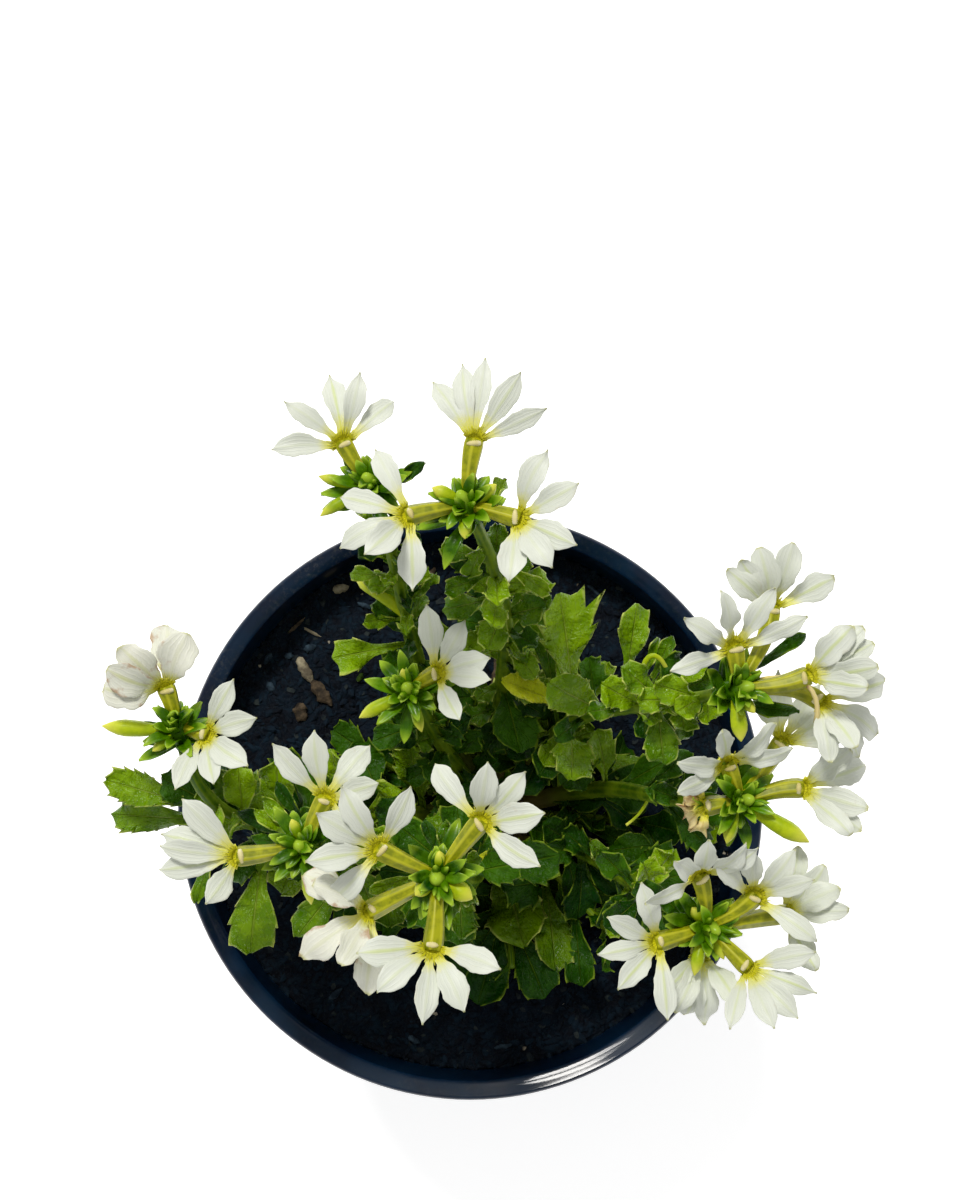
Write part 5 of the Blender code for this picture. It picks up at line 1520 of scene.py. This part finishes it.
def petal_shell(dice, length, width, foot, fan, reach=None):
    """One petal along +Y: narrow at its foot, winged past the middle, with a small point."""
    rows = PETAL_ROWS
    across = np.tile(PETAL_COLUMNS, (len(rows), 1))
    along = np.repeat(rows[:, None], len(PETAL_COLUMNS), axis=1)
    broad = dice.uniform(0.86, 1.08)
    blunt = fan["blunt"]
    outline = smooth_curve((0.0, 0.12, 0.28, 0.44, 0.58, 0.70, 0.81, 0.89, 0.955, 1.0),
                           (foot, max(foot * 0.9, 0.32), 0.58, 0.86, 1.0, 0.97, 0.78 + 0.18 * blunt,
                            0.48 + 0.38 * blunt, 0.17 + 0.42 * blunt, 0.03 + 0.2 * blunt), rows)
    half = np.tile(outline[:, None] * broad, (1, len(PETAL_COLUMNS)))
    for edge in (-1, 1):
        columns = np.sign(PETAL_COLUMNS) == edge
        phase = dice.uniform(0, math.tau)
        frill = 1.0 + 0.09 * fan["wave"] * np.sin(rows * 13 + phase) + 0.04 * np.sin(rows * 29 + 2 * phase)
        frill += np.array([dice.uniform(-0.025, 0.025) for _ in rows])
        half[:, columns] *= frill[:, None]
    x = across * half * width / 2
    bend = petal_bend(dice, length, reach, fan)
    step = np.diff(np.concatenate([[0.0], rows])) * length
    y = np.cumsum(np.cos(bend) * step)
    z = np.cumsum(np.sin(bend) * step)
    phase = dice.uniform(0, math.tau)
    wave = 0.42 * MM * fan["wave"] * np.sin(along * 9.5 + phase + (across > 0) * 2.2) * np.abs(across) ** 1.5
    crease = dice.uniform(0.02, 0.42) * np.abs(x) * np.sin(math.pi * np.clip(along * 1.15, 0, 1))
    keel = 0.14 * MM * np.exp(-(across / 0.22) ** 2)
    lift = (wave + crease + keel) * np.clip(along * 5, 0, 1)
    hook = dice.uniform(-0.6, 1.0) * MM * np.clip((along - 0.88) / 0.12, 0, 1) ** 2
    twist = dice.uniform(-0.34, 0.34) * along ** 1.2
    sway = dice.uniform(-0.06, 0.06) * length * rows ** 2
    normal = np.stack([np.zeros(len(rows)), -np.sin(bend), np.cos(bend)], axis=-1)
    grid = np.stack([x * np.cos(twist) + sway[:, None], np.repeat(y[:, None], len(PETAL_COLUMNS), 1),
                     z[:, None] + x * np.sin(twist)], axis=-1)
    grid = grid + (lift + hook)[..., None] * normal[:, None, :]
    return thin_shell(grid, PETAL_THICKNESS, across, along)


def throat_shell(spread):
    """The dish that the petals spring from, deepest where it runs into the tube."""
    rings = np.linspace(0.0, 1.0, 7)
    angles = np.linspace(-spread / 2, spread / 2, 33)
    grid = np.zeros((len(rings), len(angles), 3))
    for row, share in enumerate(rings):
        radius = THROAT_RADIUS * (0.06 + 0.98 * share)
        grid[row, :, 0] = np.sin(angles) * radius
        grid[row, :, 1] = np.cos(angles) * radius
        grid[row, :, 2] = -THROAT_DEPTH * (1 - share) ** 1.6 + 0.2 * MM * np.cos(angles * 15) * share
    across = np.tile(np.linspace(-1, 1, len(angles)), (len(rings), 1))
    along = np.repeat(rings[:, None], len(angles), axis=1)
    return thin_shell(grid, 0.3 * MM, across, along)


def add_fringe(sheaves, throat, spread, rise, dice):
    """The fine yellow hairs that stand out of the throat over the feet of the petals."""
    for index in range(FRINGE_COUNT):
        angle = spread * ((index + dice.uniform(0.2, 0.8)) / FRINGE_COUNT - 0.5)
        length = dice.uniform(1.3, 2.5) * MM
        half = 0.13 * MM
        rows = np.linspace(0, 1, 4)
        across = np.tile(np.array([-1.0, 1.0]), (4, 1))
        along = np.repeat(rows[:, None], 2, axis=1)
        slope = math.radians(rise + dice.uniform(2, 20))
        y = THROAT_RADIUS * 0.62 + along * length * math.cos(slope)
        z = 0.2 * MM + along * length * math.sin(slope) - 0.35 * MM * along ** 2
        grid = np.stack([across * half * (1 - 0.55 * along), y, z], axis=-1)
        shell = thin_shell(grid, 0.14 * MM, across, 0.5 + 0.5 * along)
        sheaves["throat"].add(*shell, matrix=throat @ Matrix.Rotation(angle, 4, "Z"), tone=dice.random())


def add_flower(sheaves, space, owner, middle, flower, petals, dice):
    """One flower: a ribbed tube out of the head, a throat, a fan of petals and the style."""
    azimuth, reach, drop, turn, spread, pitch, state = flower
    azimuth = math.radians(azimuth)
    fan_azimuth = azimuth + math.radians(turn)
    fan = FANS[state]
    mouth = middle + heading(azimuth) * reach * MM + UP * (TUBE_LIFT - drop * MM)
    throat = frame_at(mouth, heading(fan_azimuth, math.radians(pitch)), UP)
    space.fill_flower(owner, throat, PETAL_REACH * fan["reach"], math.radians(spread))
    root = middle - UP * TUBE_DROP
    leave = root + heading(azimuth, math.radians(42)) * reach * 0.45 * MM
    arrive = mouth - throat.to_3x3() @ Vector((0, 1, 0.15)) * reach * 0.36 * MM - UP * 0.7 * MM
    end = mouth + throat.to_3x3() @ Vector((0, 0.9, -0.8)) * MM
    points = [bezier(root, leave, arrive, end, step / 14) for step in range(15)]
    radii = smooth_curve((0.0, 0.25, 0.7, 0.92, 1.0), (0.50, 0.62, 0.90, 1.0, 0.92), np.linspace(0, 1, 15))
    sheaves["tube"].add(*limb_shell(points, radii * TUBE_RADIUS, 18, ribs=6, rib_depth=0.07, hollow=0.3 * MM),
                        tone=dice.random())
    full = math.radians(spread)
    step = full / (PETAL_COUNT - 1)
    petal_kind = {"wilted": "petal_wilted", "crumpled": "petal_wilted", "dried": "petal_dried"}.get(state, "petal")
    length = (PETAL_REACH - THROAT_RADIUS * 0.8) * fan["reach"]
    room = 2 * (THROAT_RADIUS + length * 0.62) * math.tan(step / 2) * 1.12
    width = PETAL_WIDTH if petals else min(PETAL_WIDTH * (0.55 + 0.45 * fan["reach"]), room)
    width *= fan["broad"]
    foot = 2 * THROAT_RADIUS * math.tan(step / 2) * 1.05 / width
    order = list(range(PETAL_COUNT))
    dice.shuffle(order)
    for index in order:
        own_length = length * dice.uniform(0.94, 1.04)
        angle = full / 2 - step * index + dice.uniform(-0.08, 0.08)
        own_reach = None
        if petals:
            angle = math.radians(petals[index][0] - turn)
            own_reach = petals[index][1] * MM - THROAT_RADIUS * 0.8
            own_length = min(max(own_length, own_reach * 1.03), length * 1.12)
        outward = Matrix.Rotation(angle, 4, "Z") @ Matrix.Translation((0, THROAT_RADIUS * 0.8, 0))
        tilt = Matrix.Rotation(math.radians(dice.uniform(-13, 13)), 4, "Y")
        raised = Matrix.Translation((0, 0, dice.uniform(-0.05, 0.16) * MM))
        shell = petal_shell(dice, own_length, width, foot, fan, own_reach)
        sheaves[petal_kind].add(*shell, matrix=throat @ raised @ outward @ tilt, tone=dice.random())
    sheaves["throat"].add(*throat_shell(min(full + step * 1.1, math.radians(300))), matrix=throat,
                          tone=dice.random())
    if state != "dried":
        add_fringe(sheaves, throat, full + step * 0.6, fan["rise"], dice)
    add_style(sheaves, throat, dice)


def add_style(sheaves, throat, dice):
    """The short ribbed cream bar that lies across the mouth of the tube."""
    lean = dice.uniform(-0.35, 0.35)
    half = dice.uniform(0.85, 1.3) * MM
    points = []
    radii = []
    for step in range(15):
        share = step / 14 * 2 - 1
        points.append(Vector((share * half, (share * lean - 0.15) * MM, (0.85 - 0.45 * share ** 2) * MM)))
        radii.append(0.56 * MM * (1 + 0.12 * math.cos(step * math.pi)) * (1 - 0.35 * share ** 2 + 0.15 * share))
    sheaves["stub"].add(*limb_shell(points, radii, 12), matrix=throat, tone=dice.random())


def bract_shell(dice, length, width, arch):
    """A small pointed bract along +Y."""
    rows = np.linspace(0.0, 1.0, 13)
    columns = np.array([-1.0, -0.55, 0.0, 0.55, 1.0])
    across = np.tile(columns, (len(rows), 1))
    along = np.repeat(rows[:, None], len(columns), axis=1)
    outline = smooth_curve((0.0, 0.25, 0.5, 0.75, 0.92, 1.0), (0.40, 0.74, 1.0, 0.84, 0.40, 0.06), rows)
    x = across * outline[:, None] * width / 2
    bend = arch * (rows - 0.5) * 2
    step = np.diff(np.concatenate([[0.0], rows])) * length
    y = np.cumsum(np.cos(bend) * step)
    z = -np.cumsum(np.sin(bend) * step)
    lift = 0.42 * np.abs(x) + 0.1 * MM * np.sin(along * 9 + dice.uniform(0, 6)) * np.abs(across)
    grid = np.stack([x, np.repeat(y[:, None], len(columns), 1), z[:, None] + lift], axis=-1)
    return thin_shell(grid, 0.4 * MM, across, along)


def add_head(sheaves, space, owner, stem, course, petals, dice):
    """The bracts, buds and flowers of one head, round a short core."""
    middle = Vector(stem["head"]) * MM
    foot = bezier(*course, 1.0)
    axis = (middle - foot).normalized()
    top = foot + axis * CORE_LENGTH
    core = [foot.lerp(top, step / 8) for step in range(9)]
    radii = np.array([1.2, 1.6, 2.0, 2.2, 2.2, 2.0, 1.7, 1.3, 0.7]) * MM
    sheaves["bract"].add(*limb_shell(core, radii, 12), tone=0.2)
    azimuth = dice.uniform(0, math.tau)
    for index in range(BRACT_COUNT + YOUNG_BUD_COUNT):
        share = (index + 0.5) / (BRACT_COUNT + YOUNG_BUD_COUNT)
        azimuth += GOLDEN_ANGLE
        side = axis.orthogonal().normalized()
        side.rotate(Matrix.Rotation(azimuth + dice.uniform(-0.5, 0.5), 3, axis))
        if index < BRACT_COUNT:
            slope = math.radians(dice.uniform(-20, 24) + 54 * share)
            towards = (side * math.cos(slope) + axis * math.sin(slope)).normalized()
            root = foot.lerp(top, 0.12 + 0.74 * share) + side * 0.6 * MM
            length = BRACT_LENGTH * (1.05 - 0.62 * share) * dice.uniform(0.62, 1.18)
            shell = bract_shell(dice, length, BRACT_WIDTH * (1.0 - 0.35 * share), dice.uniform(-0.2, 0.6))
            sheaves["bract"].add(*shell, matrix=frame_at(root, towards, UP + axis), tone=dice.random())
        else:
            slope = math.radians(dice.uniform(20, 34) + 48 * (share - 0.65) / 0.35)
            towards = (side * math.cos(slope) + axis * math.sin(slope)).normalized()
            root = foot.lerp(top, 0.58) + side * 0.8 * MM
            add_young_bud(sheaves, root, towards, dice.uniform(4.4, 5.8) * MM, dice)
    for azimuth, slope, length, radius in stem["buds"]:
        add_bud(sheaves, middle, axis, heading(math.radians(azimuth), math.radians(slope)), length * MM,
                radius * MM, dice)
    for flower, shown in zip(stem["flowers"], petals):
        add_flower(sheaves, space, owner, middle, flower, shown, dice)


def add_young_bud(sheaves, root, towards, length, dice):
    """One of the small closed green buds that crowd the middle of a head."""
    points = [root + towards * (length * step / 7) for step in range(8)]
    radii = np.array([0.5, 0.76, 0.95, 1.0, 0.90, 0.68, 0.40, 0.06]) * YOUNG_BUD_RADIUS * dice.uniform(0.85, 1.15)
    sheaves["bract"].add(*limb_shell(points, radii, 10, ribs=5, rib_depth=0.06), tone=dice.uniform(0.45, 1.0))


def add_bud(sheaves, middle, axis, towards, length, radius, dice):
    """A flower bud before it opens: thickest past its middle, with a bent point."""
    root = middle - axis * 1.0 * MM
    end = root + towards * (length + 2 * MM)
    aside = towards.cross(UP) * dice.uniform(-0.07, 0.07) * length - UP * 0.06 * length
    points = [root.lerp(end, step / 10) + aside * (step / 10) ** 3 for step in range(11)]
    radii = smooth_curve((0.0, 0.3, 0.52, 0.72, 0.88, 1.0), (0.42, 0.66, 0.94, 1.0, 0.62, 0.08),
                         np.linspace(0, 1, 11)) * radius
    ripe = min(1.0, max(0.0, radius / MM - 1.0) + dice.uniform(0.0, 0.4))
    sheaves["bud"].add(*limb_shell(points, radii, 12, ribs=5, rib_depth=0.05), tone=ripe)


# The studio

def make_camera():
    """The photograph's view: nearly straight above, with the pot below the picture's middle."""
    focal = 1770.0
    turn_down = math.atan((800.2 - 600) / focal)
    turn_side = math.atan((480 - 470.6) / focal)
    look = Vector((math.sin(turn_side), math.sin(turn_down) * math.cos(turn_side),
                   -math.cos(turn_down) * math.cos(turn_side)))
    right = look.cross(Vector((0, 1, 0))).normalized()
    up = right.cross(look)
    camera = bpy.data.cameras.new("camera")
    camera.lens = 36 * focal / 1200
    camera.sensor_width = 36
    camera.clip_start = 0.01
    viewer = bpy.data.objects.new("camera", camera)
    bpy.context.scene.collection.objects.link(viewer)
    viewer.matrix_world = (Matrix.Translation(EYE)
                           @ Matrix((right, up, -look)).transposed().to_4x4())
    bpy.context.scene.camera = viewer


def add_lamp(name, place, target, size, power, colour=(1, 1, 1)):
    light = bpy.data.lights.new(name, "AREA")
    light.shape = "DISK"
    light.size = size
    light.energy = power
    light.color = colour
    lamp = bpy.data.objects.new(name, light)
    bpy.context.scene.collection.objects.link(lamp)
    lamp.location = place
    lamp.rotation_euler = (Vector(target) - Vector(place)).to_track_quat("-Z", "Y").to_euler()


def make_studio(finish):
    scene = bpy.context.scene
    mesh = bpy.data.meshes.new("floor")
    floor = bmesh.new()
    bmesh.ops.create_grid(floor, x_segments=4, y_segments=4, size=3.0)
    floor.to_mesh(mesh)
    floor.free()
    mesh.materials.append(finish)
    ground = bpy.data.objects.new("floor", mesh)
    scene.collection.objects.link(ground)
    world = bpy.data.worlds.new("studio")
    world.use_nodes = True
    background = world.node_tree.nodes["Background"]
    background.inputs["Color"].default_value = (1.0, 1.0, 1.0, 1.0)
    background.inputs["Strength"].default_value = 0.52
    scene.world = world
    key = heading(math.radians(112), math.radians(58)) * 3.0 + Vector((0, 0, 0.15))
    add_lamp("key", key, (0, 0, 0.15), 0.65, 66.0, (1.0, 0.98, 0.94))
    scene.view_settings.view_transform = "Standard"


# Assembly

def main():
    for thing in list(bpy.data.objects):
        bpy.data.objects.remove(thing)
    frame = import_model()
    make_camera()
    finishes = make_finishes()
    make_studio(finishes["floor"])

    pot = make_pot(finishes["pot"])
    ground = make_mix(finishes["mix"])
    chips = [
        strew_chips("dark_chips", ground, finishes["dark_chips"], 3, 1.3 * MM, 0.5, 1.0 * MM, 500000.0),
        strew_chips("brown_chips", ground, finishes["brown_chips"], 8, 1.2 * MM, 0.45, 3.2 * MM, 45000.0),
        strew_chips("pale_chips", ground, finishes["pale_chips"], 21, 0.8 * MM, 0.4, 9.0 * MM, 5000.0),
    ]
    crown = make_crown(finishes["bark"])
    bits = {kind: Sheaf() for kind in ("pale", "brown", "grey", "green")}
    dice = random.Random(61)
    for bit in BARK_BITS:
        add_bit(bits[bit[-1]], bit, dice)
    chips += [sheaf.make(kind + "_bits", finishes[kind + "_bits"]) for kind, sheaf in bits.items()]

    sheaves = {name: Sheaf() for name in (
        "stem", "leaf_bright", "leaf_deep", "leaf_yellow", "petal", "petal_wilted", "petal_dried",
        "throat", "tube", "stub", "bract", "bud")}
    low_leaves = {name: Sheaf() for name in ("leaf_bright", "leaf_deep")}
    low_sheaves = {**sheaves, **low_leaves}
    space = Space()
    courses = {name: stem_course(stem) for name, stem in STEMS.items()}
    low_courses = {name: low_course(*shoot) for name, shoot in LOW_SHOOTS.items()}
    for index, (name, stem) in enumerate(STEMS.items()):
        dice = random.Random(100 + index)
        add_stem(sheaves["stem"], courses[name], STEM_RADIUS, SHOOT_TIP_RADIUS, dice)
        add_head(sheaves, space, "head_" + name, stem, courses[name], PETALS[name], dice)
    for index, (name, course) in enumerate(low_courses.items()):
        dice = random.Random(150 + index)
        add_stem(sheaves["stem"], course, LOW_SHOOT_RADIUS, LOW_SHOOT_RADIUS * 0.6, dice, sides=10)
    dice = random.Random(62)
    for limb, share, points, radii, finish in STALKS:
        add_stalk(sheaves[finish], bezier(*courses[limb], share), points, radii, dice)
    for index, (name, leaves) in enumerate(SHOWN_LEAVES.items()):
        dice = random.Random(170 + index)
        if name in STEMS:
            place_leaves(name, courses[name], leaves, sheaves, space, dice)
        else:
            place_leaves(name, low_courses[name], leaves, low_sheaves, space, dice)
    for index, name in enumerate(list(STEMS) + list(LOW_SHOOTS)):
        dice = random.Random(200 + index)
        if name in STEMS:
            grow_leaves(name, courses[name], STEMS[name]["leafy"], STEM_TIP_RADIUS, sheaves, space, dice)
        else:
            grow_leaves(name, low_courses[name], LOW_SHOOT_LEAFY, LOW_SHOOT_RADIUS, low_sheaves, space, dice)

    stems = [node for node in frame["nodes"] if node.startswith("stem_")]
    low_shoots = ["shoot_" + name for name in LOW_SHOOTS]
    shoots = ["shoot_" + name for name in STEMS]
    heads = [node for node in frame["nodes"] if node.startswith("head_")]
    plant = {name: sheaf.make("grown_" + name, finishes[name]) for name, sheaf in sheaves.items() if sheaf.count}
    for name, sheaf in low_leaves.items():
        plant["low_" + name] = sheaf.make("grown_low_" + name, finishes[name])
    for piece in [pot, ground, crown] + chips + list(plant.values()):
        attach(piece, BODY)
    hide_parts("pot")
    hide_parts("potting_mix")
    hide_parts("crown")
    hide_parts(*stems)
    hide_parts(*shoots)
    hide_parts(*low_shoots)
    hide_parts(*heads)
    for name, piece in plant.items():
        if "leaf" in name:
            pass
        elif name == "stem":
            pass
        else:
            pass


main()
